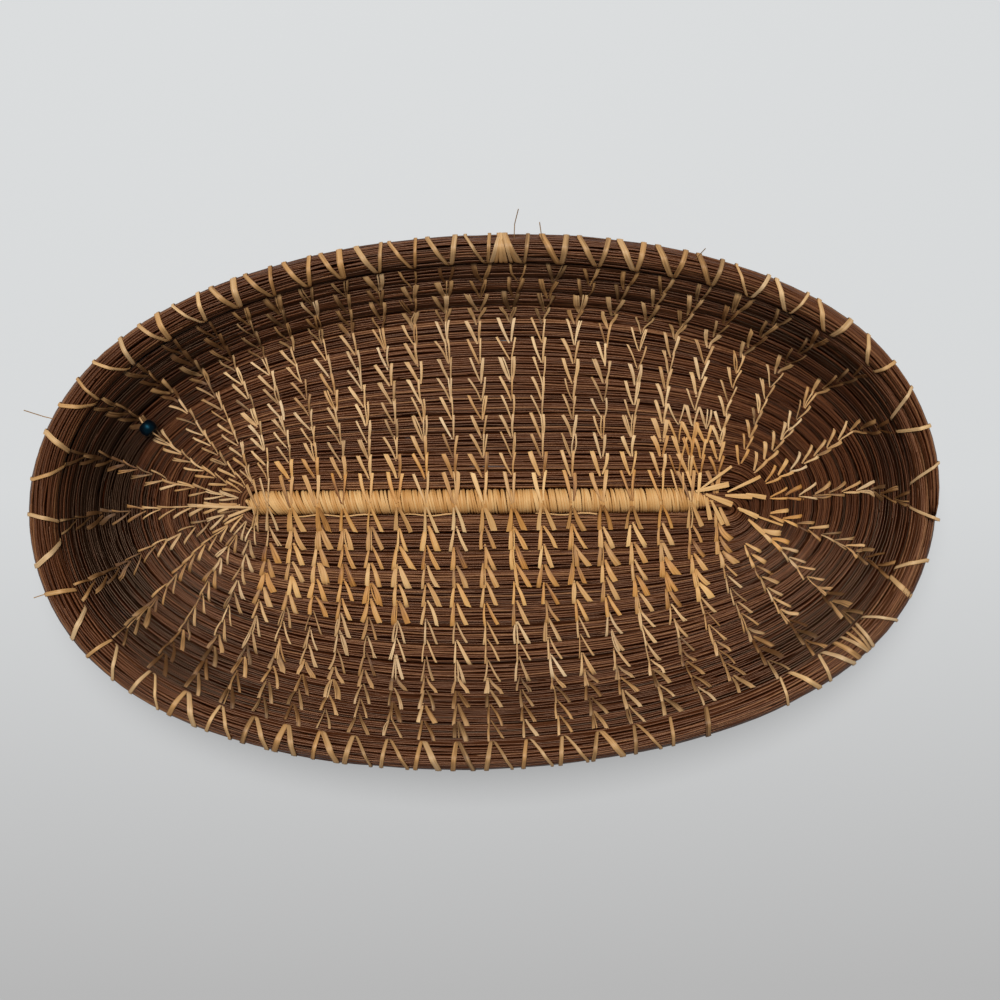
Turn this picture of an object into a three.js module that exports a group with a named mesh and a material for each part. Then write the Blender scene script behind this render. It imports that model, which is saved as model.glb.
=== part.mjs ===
// Oval coiled tray of pine needles stitched with raffia. Millimetres, +Z up.
// A straight wrapped core lies along X. The needle coil turns back at the core's +X end, winds
// clockwise (seen from above) into a flat base, climbs as a flared wall and ends as a thicker rim.
import * as THREE from "three";

// Coil
const COIL_PITCH = 6.8; // spacing of the rounds at the middle of the long sides
const ROUND_GAP = 0.6; // clear gap between neighbouring rounds
const COIL_THICKNESS = 6.2; // height of the flattened coil section
const FLAT_DEPTH = 0.5; // how deep the flats cut into the round section
const BASE_ROUNDS = 9;
const WALL_ROUNDS = 4;
const END_GAP = 0.3; // gap where one stretch of coil meets the next

// Plan of the oval
const END_CENTRE = 84.5; // from the middle to the point that the coil turns round at each end
const END_GROWTH = 0.787; // share of the pitch that each round adds at the ends
const SIDE_BULGE = 0.688; // 0 keeps the long sides straight, larger values bow them out
const CORE_SHIFT = 2; // how far the core sits towards +X of the rim's middle
const RIM_TWIST = 2; // degrees that the rim's oval is turned against the core, counter-clockwise
const FIRST_BEARING = -86; // bearing in degrees where the turn back meets the first round

// Wall and rim
const SIDE_SLOPE = 51; // degrees of wall slope at the long sides
const END_SLOPE = 69; // degrees of wall slope at the ends
const BEND_RADIUS = 6; // from base to wall, at the coil's middle
const RIM_WIDTH = 8.4;
const RIM_THICKNESS = 8;
const TAIL_WIDTH = 2.6; // the rim coil thins to this at its end
const TAIL_THICKNESS = 3;
const TAIL_START = 80; // bearing in degrees where the rim coil starts to thin
const TAIL_END = -10; // bearing in degrees where the rim coil stops

// Core and its raffia winding
const CORE_RADIUS = 3;
const WRAP_GAP = 0.3;
const WRAP_THICKNESS = 0.6;
const WRAP_TURNS = 20;
const WRAP_SPACE = 0.7; // clear gap between neighbouring turns
const CORE_LIFT = 0.2; // the winding stays this far above the table

// Stitches
const STITCH_ROWS = 50;
const STITCH_WIDTH = 1.6;
const STITCH_THICKNESS = 0.5;
const SEAT_GAP = 0.3; // between a stitch and the coil under it
const LEG_LENGTH = 1.35; // length of the slanted leg along its row, in pitches
const LEG_REACH = 3.4; // how far the slanted leg leans away from its row
const LEG_ROOT = 0.34; // share of a pitch that the slanted leg is wide at its root
const ROW_SPACE = 5.6; // rows start where they are at least this far apart
const ROW_SHIFT = 8.2; // how far the rows of the long sides sit towards -X of an even spacing
const ROW_CROWDING = 2; // how far the rows between sides and ends sit towards the ends

// Bead
const BEAD_RADIUS = 3;
const BEAD_HOLE = 0.7;
const BEAD_LENGTH = 4.6;
const BEAD_BEARING = 138; // degrees
const BEAD_ROUND = 9;

// Fineness of the meshes
const BASE_STEPS = 32; // steps in a loop
const WALL_STEPS = 48;
const SIDE_CROWDING = 1.6; // above 1 the steps of a loop crowd towards its long sides
const SHORTEST_STEP = 1 / 6; // least step, as a share of an even one
const GAP_APART = 1 / 3; // share of a loop between rings whose gap is measured
const TURN_BACK_STEPS = 5;
const WRAP_STEPS = 8;
const ROW_STEP = 0.5; // step in which a row is followed across the surface
const ROW_PARTS = 20; // parts per row in which the middle round is measured
const CROSSING_PASSES = 4; // rounds of finding where a row crosses the coil
const SMALL_ANGLE = 1e-3;
const CORE_SIDES = 16;
const BEAD_SIDES = 8;
const BEAD_STEPS = 12;

// Sizes that follow from the ones above
const FULL = 2 * Math.PI;
const QUARTER = Math.PI / 2;
const wrapInner = (CORE_RADIUS + WRAP_GAP) / Math.cos(Math.PI / WRAP_STEPS);
const wrapOuter = wrapInner + WRAP_THICKNESS;
const coreHeight = wrapOuter + CORE_LIFT;
const midHeight = COIL_THICKNESS / 2;
const coilHalfWidth = (COIL_PITCH - ROUND_GAP) / 2;
const firstReach = wrapOuter + ROUND_GAP + coilHalfWidth;
const wallRound = BASE_ROUNDS + WALL_ROUNDS;
const baseReach = firstReach + (BASE_ROUNDS - 0.5) * COIL_PITCH;
const rimReach = roundReach(wallRound) + coilHalfWidth + ROUND_GAP + RIM_WIDTH / 2;
const tailTurn = (wallRound + 1) * FULL + QUARTER - radians(TAIL_END);
const thinTurn = (wallRound + 1) * FULL + QUARTER - radians(TAIL_START);
const firstBearing = radians(FIRST_BEARING);
const firstTurn = QUARTER - firstBearing;
const wallTurn = BASE_ROUNDS * FULL + QUARTER / 2;
const rimTurn = wallRound * FULL + QUARTER / 2;

function radians(degrees) {
  return (degrees * Math.PI) / 180;
}

function blend(from, to, share) {
  return from + (to - from) * share;
}

// Reach is the distance out from the core's axis along the surface, at the middle of a long side.
function roundReach(round) {
  return firstReach + (round - 1) * COIL_PITCH;
}

// The bend from base to wall and the straight slope after it, at one bearing. A section tips up
// only so far that the edge of its flat stays above the table.
function wallProfile(bearing, reach) {
  const climb = Math.max(reach - baseReach, 0);
  const slope = radians(blend(SIDE_SLOPE, END_SLOPE, Math.cos(bearing) ** 2));
  const bend = Math.min(climb / BEND_RADIUS, slope);
  const straight = Math.max(climb - BEND_RADIUS * slope, 0);
  const out = BEND_RADIUS * Math.sin(bend) + straight * Math.cos(slope);
  const lift = BEND_RADIUS * (1 - Math.cos(bend));
  const up = lift + straight * Math.sin(slope);
  const tilt = Math.min(bend, lift / flatHalf(coilHalfWidth, midHeight));
  return { out, up, tilt };
}

// Half the width of the flat on a section.
function flatHalf(halfWidth, halfHeight) {
  return halfWidth * Math.sqrt(1 - (halfHeight / (halfHeight + FLAT_DEPTH)) ** 2);
}

// How far the oval of one reach lies out from the middle, towards one bearing.
function planDistance(bearing, reach) {
  const flat = Math.min(reach, baseReach);
  const bulge = (SIDE_BULGE * flat * flat) / baseReach;
  const length = END_CENTRE + END_GROWTH * flat - (flat - bulge);
  const oval = Math.hypot(length * Math.cos(bearing), bulge * Math.sin(bearing));
  const shift = CORE_SHIFT * (1 - reach / rimReach) * Math.cos(bearing);
  return oval + flat - bulge + shift + wallProfile(bearing, reach).out;
}

function planSlope(bearing, reach) {
  const ahead = planDistance(bearing + SMALL_ANGLE, reach);
  return (ahead - planDistance(bearing - SMALL_ANGLE, reach)) / (2 * SMALL_ANGLE);
}

// Radius of the oval's curve in plan.
function planRadius(bearing, reach) {
  const ahead = planSlope(bearing + SMALL_ANGLE, reach);
  const bend = (ahead - planSlope(bearing - SMALL_ANGLE, reach)) / (2 * SMALL_ANGLE);
  return planDistance(bearing, reach) + bend;
}

// A place on the middle surface: centre, direction up the wall, direction to the inside, and along.
// Rounds further out are turned a little more against the core.
function surfaceAt(bearing, reach) {
  const distance = planDistance(bearing, reach);
  const slope = planSlope(bearing, reach);
  const profile = wallProfile(bearing, reach);
  const away = new THREE.Vector3(Math.cos(bearing), Math.sin(bearing), 0);
  const along = new THREE.Vector3(-Math.sin(bearing), Math.cos(bearing), 0);
  const up = new THREE.Vector3(0, 0, 1);
  const centre = away.clone().multiplyScalar(distance).addScaledVector(along, slope);
  centre.z = midHeight + profile.up;
  const climb = away.clone().multiplyScalar(Math.cos(profile.tilt));
  climb.addScaledVector(up, Math.sin(profile.tilt));
  const inside = up.clone().multiplyScalar(Math.cos(profile.tilt));
  inside.addScaledVector(away, -Math.sin(profile.tilt));
  const twist = radians(RIM_TWIST) * (reach / rimReach);
  [centre, climb, inside, along].forEach((vector) => vector.applyAxisAngle(up, twist));
  return { centre, climb, inside, along };
}

// The coil counts its turn clockwise from bearing 90 degrees and steps out one round at the +X end.
function coilAt(turn) {
  const bearing = QUARTER - turn;
  const loop = Math.floor(turn / FULL);
  const part = turn - loop * FULL;
  const step = part < Math.PI ? (1 - Math.cos(part)) / 2 : 1;
  if (loop > wallRound) {
    return tailAt(turn, bearing, step);
  }
  const inner = loop === 0 ? firstReach : roundReach(loop);
  const outer = loop === wallRound ? rimReach : roundReach(loop + 1);
  const reach = blend(inner, outer, step);
  const onRim = loop === wallRound ? step : 0;
  const halfWidth = blend(roundHalfWidth(bearing, reach), RIM_WIDTH / 2, onRim);
  const halfHeight = blend(COIL_THICKNESS, RIM_THICKNESS, onRim) / 2;
  return { bearing, reach, halfWidth, halfHeight };
}

// The last part of the rim lies on the rim's own beginning and thins to the tail.
function tailAt(turn, bearing, step) {
  const under = blend(roundReach(wallRound), rimReach, step);
  const underWidth = blend(coilHalfWidth, RIM_WIDTH / 2, step);
  const share = Math.min(Math.max((turn - thinTurn) / (tailTurn - thinTurn), 0), 1);
  const halfWidth = blend(RIM_WIDTH, TAIL_WIDTH, share) / 2;
  const halfHeight = blend(RIM_THICKNESS, TAIL_THICKNESS, share) / 2;
  const reach = under + underWidth + ROUND_GAP + halfWidth;
  return { bearing, reach, halfWidth, halfHeight };
}

// Rounds fill the space to their nearer neighbour, less the gap.
function roundHalfWidth(bearing, reach) {
  const here = surfaceAt(bearing, reach).centre;
  const outside = here.distanceTo(surfaceAt(bearing, reach + COIL_PITCH).centre);
  const hasInner = reach > firstReach + COIL_PITCH / 2;
  const inner = hasInner ? surfaceAt(bearing, reach - COIL_PITCH).centre : null;
  const inside = inner ? here.distanceTo(inner) : outside;
  return (Math.min(outside, inside, COIL_PITCH) - ROUND_GAP) / 2;
}

// Every loop has its steps at the same bearings, so that the rounds stay parallel.
function coilTurns(from, to, loopSteps) {
  const turns = [from];
  const firstStep = Math.floor((from / FULL) * loopSteps) - loopSteps;
  const lastStep = Math.ceil((to / FULL) * loopSteps) + loopSteps;
  for (let step = firstStep; step <= lastStep; step += 1) {
    const loop = Math.floor(step / loopSteps);
    const even = (step / loopSteps - loop) * FULL;
    const bent = Math.atan2(Math.sin(even), SIDE_CROWDING * Math.cos(even));
    const turn = loop * FULL + (bent < 0 ? bent + FULL : bent);
    const last = turns[turns.length - 1];
    const shortest = (FULL / loopSteps) * SHORTEST_STEP;
    if (turn > last + shortest && turn < to - shortest) {
      turns.push(turn);
    }
  }
  turns.push(to);
  return turns;
}

// Six-sided section with flats towards the inside and the outside of the tray.
function sectionCorners(place, halfWidth, halfHeight) {
  const flat = flatHalf(halfWidth, halfHeight);
  const corners = [
    [halfWidth, 0],
    [flat, halfHeight],
    [-flat, halfHeight],
    [-halfWidth, 0],
    [-flat, -halfHeight],
    [flat, -halfHeight],
  ];
  return corners.map(([climb, inside]) => placed(place, climb, inside, 0));
}

function placed(place, climb, inside, along) {
  const point = place.centre.clone().addScaledVector(place.climb, climb);
  return point.addScaledVector(place.inside, inside).addScaledVector(place.along, along);
}

function coilRing(turn) {
  const coil = coilAt(turn);
  return sectionCorners(surfaceAt(coil.bearing, coil.reach), coil.halfWidth, coil.halfHeight);
}

// A closed body through a list of rings; turned round if it comes out facing in.
function ringBody(rings) {
  const sides = rings[0].length;
  const positions = [];
  rings.forEach((ring) => ring.forEach((point) => positions.push(point.x, point.y, point.z)));
  const faces = [];
  for (let ring = 0; ring + 1 < rings.length; ring += 1) {
    for (let side = 0; side < sides; side += 1) {
      const here = ring * sides + side;
      const next = ring * sides + ((side + 1) % sides);
      faces.push([here, next, next + sides], [here, next + sides, here + sides]);
    }
  }
  const end = (rings.length - 1) * sides;
  for (let side = 1; side + 1 < sides; side += 1) {
    faces.push([0, side + 1, side], [end, end + side, end + side + 1]);
  }
  return facingOut(positions, faces);
}

function facingOut(positions, faces) {
  const corner = (index) => new THREE.Vector3().fromArray(positions, index * 3);
  let volume = 0;
  faces.forEach(([a, b, c]) => {
    volume += corner(a).dot(corner(b).cross(corner(c)));
  });
  const turned = volume < 0 ? faces.map(([a, b, c]) => [a, c, b]) : faces;
  const geometry = new THREE.BufferGeometry();
  geometry.setAttribute("position", new THREE.Float32BufferAttribute(positions, 3));
  geometry.setIndex(turned.flat());
  geometry.computeVertexNormals();
  return geometry;
}

const tray = new THREE.Group();
tray.name = "pine_needle_basket";

const needle = new THREE.MeshStandardMaterial({ color: 0x4a3227, roughness: 0.7, metalness: 0 });
const raffia = new THREE.MeshStandardMaterial({ color: 0xc79a55, roughness: 0.6, metalness: 0 });
const glass = new THREE.MeshStandardMaterial({ color: 0x12263d, roughness: 0.15, metalness: 0 });

function addPiece(name, geometry, material) {
  const piece = new THREE.Mesh(geometry, material);
  piece.name = name;
  tray.add(piece);
}

// The coil leaves the core in line with it and turns back on itself to the first round.
function turnBackRings() {
  const first = surfaceAt(firstBearing, firstReach);
  const halfWidth = roundHalfWidth(0, firstReach);
  const radius = Math.abs(first.centre.y) / 2;
  const bend = new THREE.Vector3(first.centre.x, -radius, 0);
  const up = new THREE.Vector3(0, 0, 1);
  const rings = [];
  const straight = 2 * halfWidth;
  for (let step = -1; step < TURN_BACK_STEPS; step += 1) {
    const share = Math.max(step, 0) / TURN_BACK_STEPS;
    const bearing = blend(QUARTER, firstBearing, share);
    const away = new THREE.Vector3(Math.cos(bearing), Math.sin(bearing), 0);
    const centre = bend.clone().addScaledVector(away, radius);
    centre.x -= step < 0 ? straight : 0;
    centre.z = blend(coreHeight, midHeight, share);
    const place = { centre, climb: away, inside: up, along: away };
    rings.push(sectionCorners(place, halfWidth, COIL_THICKNESS / 2));
  }
  return { rings, start: bend.x - straight };
}

const turnBack = turnBackRings();
const endShift = (turn) => END_GAP / 2 / planRadius(QUARTER - turn, coilAt(turn).reach);
const baseTurns = coilTurns(firstTurn, wallTurn - endShift(wallTurn), BASE_STEPS);
const wallStart = wallTurn + endShift(wallTurn);
const wallTurns = coilTurns(wallStart, rimTurn - endShift(rimTurn), WALL_STEPS);
const rimTurns = coilTurns(rimTurn + endShift(rimTurn), tailTurn, WALL_STEPS);
const baseRings = turnBack.rings.concat(baseTurns.map(coilRing));
const wallRings = wallTurns.map(coilRing);
const rimRings = rimTurns.map(coilRing);
addPiece("base_coil", ringBody(baseRings), needle);
addPiece("wall_coil", ringBody(wallRings), needle);
addPiece("rim_coil", ringBody(rimRings), needle);

// Least gap of the coil to itself, from corner to corner of rings that lie about a loop apart.
function leastGap(rings) {
  let least = Infinity;
  const apart = Math.floor(BASE_STEPS * GAP_APART);
  rings.forEach((ring, index) => {
    rings.slice(index + apart).forEach((other) => {
      ring.forEach((point) => {
        other.forEach((far) => {
          least = Math.min(least, point.distanceTo(far));
        });
      });
    });
  });
  return least;
}

console.log("coil: least gap to itself", leastGap([...baseRings, ...wallRings, ...rimRings]));

// The core bundle fills the first round from its -X end to the start of the coil.
const coreEnd = turnBack.start - END_GAP;
const coreStart = CORE_SHIFT - END_CENTRE;
const coreLength = coreEnd - coreStart;
const coreBody = new THREE.CylinderGeometry(CORE_RADIUS, CORE_RADIUS, coreLength, CORE_SIDES);
coreBody.rotateZ(QUARTER);
coreBody.translate((coreStart + coreEnd) / 2, 0, coreHeight);
addPiece("core_bundle", coreBody, needle);

// Raffia wound round the core as one flat strip.
function wrapRings() {
  const rise = coreLength / (WRAP_TURNS + 1);
  const width = rise - WRAP_SPACE;
  const steps = WRAP_TURNS * WRAP_STEPS;
  const rings = [];
  for (let step = 0; step <= steps; step += 1) {
    const angle = (step / WRAP_STEPS) * FULL;
    const start = coreStart + (step / WRAP_STEPS) * rise;
    const across = [start, start + width];
    const corner = (x, radius) => {
      const y = radius * Math.cos(angle);
      return new THREE.Vector3(x, y, coreHeight + radius * Math.sin(angle));
    };
    rings.push([
      corner(across[0], wrapInner),
      corner(across[1], wrapInner),
      corner(across[1], wrapOuter),
      corner(across[0], wrapOuter),
    ]);
  }
  return rings;
}

addPiece("core_wrap", ringBody(wrapRings()), raffia);
console.log("winding: least gap to itself", WRAP_SPACE * coreLength / (coreLength + WRAP_SPACE));

// Rows start on the middle round, a little closer together at the -X end, and follow the surface
// straight up and down it.
function rowBearings() {
  const middle = roundReach(Math.ceil(BASE_ROUNDS / 2));
  const parts = STITCH_ROWS * ROW_PARTS;
  const lengths = [0];
  for (let part = 0; part < parts; part += 1) {
    const bearing = (part / parts) * FULL;
    const here = surfaceAt(bearing, middle).centre;
    const next = surfaceAt(bearing + FULL / parts, middle).centre;
    lengths.push(lengths[part] + here.distanceTo(next));
  }
  const rows = [];
  for (let row = 0; row < STITCH_ROWS; row += 1) {
    const even = row / STITCH_ROWS;
    const shift = ROW_SHIFT * Math.sin(FULL * even) - ROW_CROWDING * Math.sin(2 * FULL * even);
    const wanted = even * lengths[parts] + shift;
    const part = lengths.findIndex((length) => length > wanted) - 1;
    const share = (wanted - lengths[part]) / (lengths[part + 1] - lengths[part]);
    rows.push({ middle, bearing: ((part + share) / parts) * FULL });
  }
  return rows;
}

// Bearing of a row at each step of reach, so that it crosses every round squarely.
function followRow(row) {
  const inward = followTowards(row, firstReach - coilHalfWidth, -ROW_STEP);
  const outward = followTowards(row, rimReach + RIM_WIDTH, ROW_STEP);
  return inward.reverse().concat(outward.slice(1));
}

function followTowards(row, end, step) {
  const track = [{ reach: row.middle, bearing: row.bearing }];
  let bearing = row.bearing;
  for (let reach = row.middle; (end - reach) * step > 0; reach += step) {
    const middle = reach + step / 2;
    const ahead = planSlope(bearing, middle + ROW_STEP / 2);
    const twist = (ahead - planSlope(bearing, middle - ROW_STEP / 2)) / ROW_STEP;
    bearing -= (step * twist) / planRadius(bearing, middle);
    track.push({ reach: reach + step, bearing });
  }
  return track;
}

function trackBearing(track, reach) {
  const found = track.findIndex((spot) => spot.reach >= reach);
  const upper = found < 1 ? track.length - 1 : found;
  const [from, to] = [track[upper - 1], track[upper]];
  return blend(from.bearing, to.bearing, (reach - from.reach) / (to.reach - from.reach));
}

// Rounds that a row crosses, from the core out to the rim.
function crossings(track) {
  const found = [];
  for (let loop = 0; loop <= wallRound + 1; loop += 1) {
    let reach = roundReach(Math.max(loop, 1));
    let coil = null;
    for (let pass = 0; pass < CROSSING_PASSES; pass += 1) {
      const bearing = trackBearing(track, reach);
      const part = (((QUARTER - bearing) % FULL) + FULL) % FULL;
      coil = coilAt(loop * FULL + part);
      coil.turn = loop * FULL + part;
      coil.bearing = bearing;
      reach = coil.reach;
    }
    if (coil.turn > firstTurn && coil.turn < tailTurn) {
      found.push(coil);
    }
  }
  return found;
}

const rows = rowBearings();
const tracks = rows.map(followRow);

// Distance at one reach from a row to the nearer of its two neighbours.
function rowSpace(index, reach) {
  const spots = [index - 1, index, index + 1].map((row) => {
    const track = tracks[(row + STITCH_ROWS) % STITCH_ROWS];
    return surfaceAt(trackBearing(track, reach), reach).centre;
  });
  return Math.min(spots[1].distanceTo(spots[0]), spots[1].distanceTo(spots[2]));
}

// Straight steps of a coil cut the inside of its bends, and stitches stay clear of that too.
function seatGap(bearing, reach) {
  const uneven = Math.sin(bearing) ** 2 + (SIDE_CROWDING * Math.cos(bearing)) ** 2;
  const halfStep = (Math.PI / WALL_STEPS) * (uneven / SIDE_CROWDING);
  const cut = planRadius(bearing, reach) * (1 - Math.cos(halfStep));
  return SEAT_GAP + cut * Math.sin(wallProfile(bearing, reach).tilt);
}

// Four corners of the spine at a reach: inner face left and right, then outer face right and left.
function spineRing(track, reach, halfHeight) {
  const bearing = trackBearing(track, reach);
  const place = surfaceAt(bearing, reach);
  const seat = halfHeight + seatGap(bearing, reach);
  return spineCorners(place, [0, seat], [0, seat + STITCH_THICKNESS]);
}

function spineCorners(place, low, high) {
  const half = STITCH_WIDTH / 2;
  return [
    placed(place, low[0], low[1], half),
    placed(place, low[0], low[1], -half),
    placed(place, high[0], high[1], -half),
    placed(place, high[0], high[1], half),
  ];
}

// Corners of the rim section pushed out by a gap, from the inner face over the top to the outer.
function rimOffset(coil, gap) {
  const { halfWidth, halfHeight } = coil;
  const flat = flatHalf(halfWidth, halfHeight);
  const slant = Math.hypot(halfHeight, halfWidth - flat);
  const shoulder = flat + (gap * (slant - halfWidth + flat)) / halfHeight;
  const top = halfWidth + (gap * slant) / halfHeight;
  const face = halfHeight + gap;
  return [
    [0, face],
    [shoulder, face],
    [top, 0],
    [shoulder, -face],
    [0, -face],
  ];
}

// Spine over the rim coil and down its outer face.
function rimRow(track, coil) {
  const bearing = trackBearing(track, coil.reach);
  const place = surfaceAt(bearing, coil.reach);
  const gap = seatGap(bearing, coil.reach);
  const low = rimOffset(coil, gap);
  const high = rimOffset(coil, gap + STITCH_THICKNESS);
  return low.map((corner, index) => spineCorners(place, corner, high[index]));
}

// A slanted leg grows out of the spine's left side as a thin wedge.
function addLeg(mesh, track, index, inner, outer, halfHeight) {
  const pitch = outer - inner;
  const root = inner + pitch * LEG_ROOT;
  const tip = inner + pitch * LEG_LENGTH;
  const reachOut = Math.min(LEG_REACH, rowSpace(index, tip) / 2 - STITCH_WIDTH);
  const [, , , high] = spineRing(track, root, halfHeight);
  const [low] = spineRing(track, root, halfHeight);
  const lean = (STITCH_WIDTH / 2 + reachOut) / planRadius(trackBearing(track, tip), tip);
  const bearing = trackBearing(track, tip) + lean;
  const place = surfaceAt(bearing, tip);
  const height = halfHeight + seatGap(bearing, tip) + STITCH_THICKNESS / 2;
  const first = mesh.positions.length / 3;
  [low, high, placed(place, 0, height, 0)].forEach((point) => {
    mesh.positions.push(point.x, point.y, point.z);
  });
  return { low: first, high: first + 1, tip: first + 2 };
}

// One row: a spine across all its rounds with a slanted leg on each, in one closed body.
function stitchRow(index) {
  const track = tracks[index];
  const roomy = crossings(track).filter((coil) => rowSpace(index, coil.reach) > ROW_SPACE);
  const mesh = { positions: [], faces: [] };
  const rim = roomy[roomy.length - 1];
  const inner = roomy.slice(0, -1);
  const valleys = inner.map((coil, number) => {
    const before = number > 0 ? inner[number - 1].reach : coil.reach - 2 * coil.halfWidth;
    return { reach: (before + coil.reach) / 2, halfHeight: coil.halfHeight };
  });
  const last = inner[inner.length - 1];
  const lastReach = last.reach + last.halfWidth;
  valleys.push({ reach: lastReach, halfHeight: Math.max(last.halfHeight, rim.halfHeight) });
  const rings = valleys.map((valley) => spineRing(track, valley.reach, valley.halfHeight));
  rimRow(track, rim).forEach((ring) => rings.push(ring));
  rings.forEach((ring) => {
    ring.forEach((point) => mesh.positions.push(point.x, point.y, point.z));
  });
  for (let ring = 0; ring + 1 < rings.length; ring += 1) {
    const here = ring * 4;
    const next = here + 4;
    mesh.faces.push([here + 1, here + 2, next + 2], [here + 1, next + 2, next + 1]);
    if (ring + 1 >= valleys.length) {
      mesh.faces.push([here, here + 1, next + 1], [here, next + 1, next]);
      mesh.faces.push([here + 2, here + 3, next + 3], [here + 2, next + 3, next + 2]);
      mesh.faces.push([here + 3, here, next], [here + 3, next, next + 3]);
      continue;
    }
    const [from, to] = [valleys[ring], valleys[ring + 1]];
    const leg = addLeg(mesh, track, index, from.reach, to.reach, from.halfHeight);
    mesh.faces.push([here, here + 1, leg.low], [leg.low, here + 1, next + 1]);
    mesh.faces.push([leg.low, next + 1, next]);
    mesh.faces.push([here + 2, here + 3, leg.high], [here + 2, leg.high, next + 2]);
    mesh.faces.push([next + 2, leg.high, next + 3]);
    mesh.faces.push([here + 3, here, leg.tip], [here, leg.low, leg.tip]);
    mesh.faces.push([leg.low, leg.high, leg.tip], [leg.high, here + 3, leg.tip]);
    mesh.faces.push([leg.high, leg.low, next], [leg.high, next, next + 3]);
  }
  const end = (rings.length - 1) * 4;
  mesh.faces.push([0, 2, 1], [0, 3, 2], [end, end + 1, end + 2], [end, end + 2, end + 3]);
  return facingOut(mesh.positions, mesh.faces);
}

rows.forEach((row, index) => {
  addPiece(`stitch_row_${String(index + 1).padStart(2, "0")}`, stitchRow(index), raffia);
});

// The bead sits on the stitch row nearest to its bearing, its hole in line with the row.
function beadPiece() {
  const reach = roundReach(BEAD_ROUND);
  const away = tracks.map((track) => {
    return Math.abs(trackBearing(track, reach) - radians(BEAD_BEARING));
  });
  const track = tracks[away.indexOf(Math.min(...away))];
  const place = surfaceAt(trackBearing(track, reach), reach);
  const tube = (BEAD_RADIUS - BEAD_HOLE) / 2;
  const bead = new THREE.TorusGeometry(BEAD_RADIUS - tube, tube, BEAD_SIDES, BEAD_STEPS);
  bead.scale(1, 1, BEAD_LENGTH / (2 * tube));
  const lie = new THREE.Quaternion();
  bead.applyQuaternion(lie.setFromUnitVectors(new THREE.Vector3(0, 0, 1), place.climb));
  const height = COIL_THICKNESS / 2 + SEAT_GAP + STITCH_THICKNESS + SEAT_GAP + BEAD_RADIUS;
  const middle = placed(place, 0, height, 0);
  bead.translate(middle.x, middle.y, middle.z);
  return bead;
}

addPiece("glass_bead", beadPiece(), glass);

// The tray stands on z = 0 with the middle of its box over the origin.
const box = new THREE.Box3().setFromObject(tray);
const middle = box.getCenter(new THREE.Vector3());
tray.children.forEach((piece) => piece.geometry.translate(-middle.x, -middle.y, -box.min.z));

export default tray;
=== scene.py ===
# %% [markdown]
# # An oval tray of pine needles and raffia
# The tray is one long bundle of brown pine needles. It starts as a straight core, turns back and
# winds outward into a flat oval base, a flared wall and a thick rim. Raffia holds it together: a
# winding on the core, and rows of V-shaped stitches that run from the core to the rim.
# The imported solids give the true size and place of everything. Here each plain solid gets its
# real make-up: single needles, single strips of raffia, and a glass bead.

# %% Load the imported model
import math
from collections import namedtuple

import bmesh
import bpy
import numpy as np
from mathutils import Matrix, Vector


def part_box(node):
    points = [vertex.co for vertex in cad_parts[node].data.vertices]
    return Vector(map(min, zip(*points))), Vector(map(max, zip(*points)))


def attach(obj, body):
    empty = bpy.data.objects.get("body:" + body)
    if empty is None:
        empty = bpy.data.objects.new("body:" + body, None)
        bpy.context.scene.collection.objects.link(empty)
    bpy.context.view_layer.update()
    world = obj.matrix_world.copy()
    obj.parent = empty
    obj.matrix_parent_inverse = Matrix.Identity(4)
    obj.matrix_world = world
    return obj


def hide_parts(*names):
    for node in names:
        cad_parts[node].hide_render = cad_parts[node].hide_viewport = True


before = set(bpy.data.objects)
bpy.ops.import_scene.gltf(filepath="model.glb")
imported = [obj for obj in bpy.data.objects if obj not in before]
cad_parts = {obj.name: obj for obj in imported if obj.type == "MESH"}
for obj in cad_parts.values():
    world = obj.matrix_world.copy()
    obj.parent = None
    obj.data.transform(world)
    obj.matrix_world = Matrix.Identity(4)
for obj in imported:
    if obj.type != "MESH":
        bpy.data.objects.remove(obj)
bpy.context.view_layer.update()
MM = 0.001

# %% [markdown]
# ## The camera
# The tray is seen from straight above, with its long side across the picture. A lens of 45 mm at
# about 45 cm makes the rim look a little wider than the base. The camera stands a little
# towards the far long side and leans back, so the near inner wall shows more than the far one.

# %% Camera over the tray
CAMERA_PLACE = Vector((5.4, 21.6, 452)) * MM
CAMERA_LEAN = math.radians(-2.7)
CAMERA_ROLL = math.radians(-0.4)


def add(name, data):
    made = bpy.data.objects.new(name, data)
    bpy.context.scene.collection.objects.link(made)
    return made


camera = add("camera", bpy.data.cameras.new("camera"))
camera.data.lens = 44.9
camera.data.sensor_width = 36
camera.location = CAMERA_PLACE
camera.rotation_euler = (CAMERA_LEAN, 0, CAMERA_ROLL)
bpy.context.scene.camera = camera
bpy.context.scene.view_settings.view_transform = "Standard"
print("camera at", [round(c / MM) for c in CAMERA_PLACE], "mm")

# %% [markdown]
# ## The tray's surface as a formula
# Every needle and stitch lies on one surface, the middle layer of the coil. A place on it has a
# bearing, the direction in which the oval faces there, and a reach, the distance from the core
# up the surface. The formula repeats the sizes of the solids, in millimetres: an oval that grows
# less at its ends than at its sides, a short bend, and a wall that is steeper at the ends.

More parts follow.
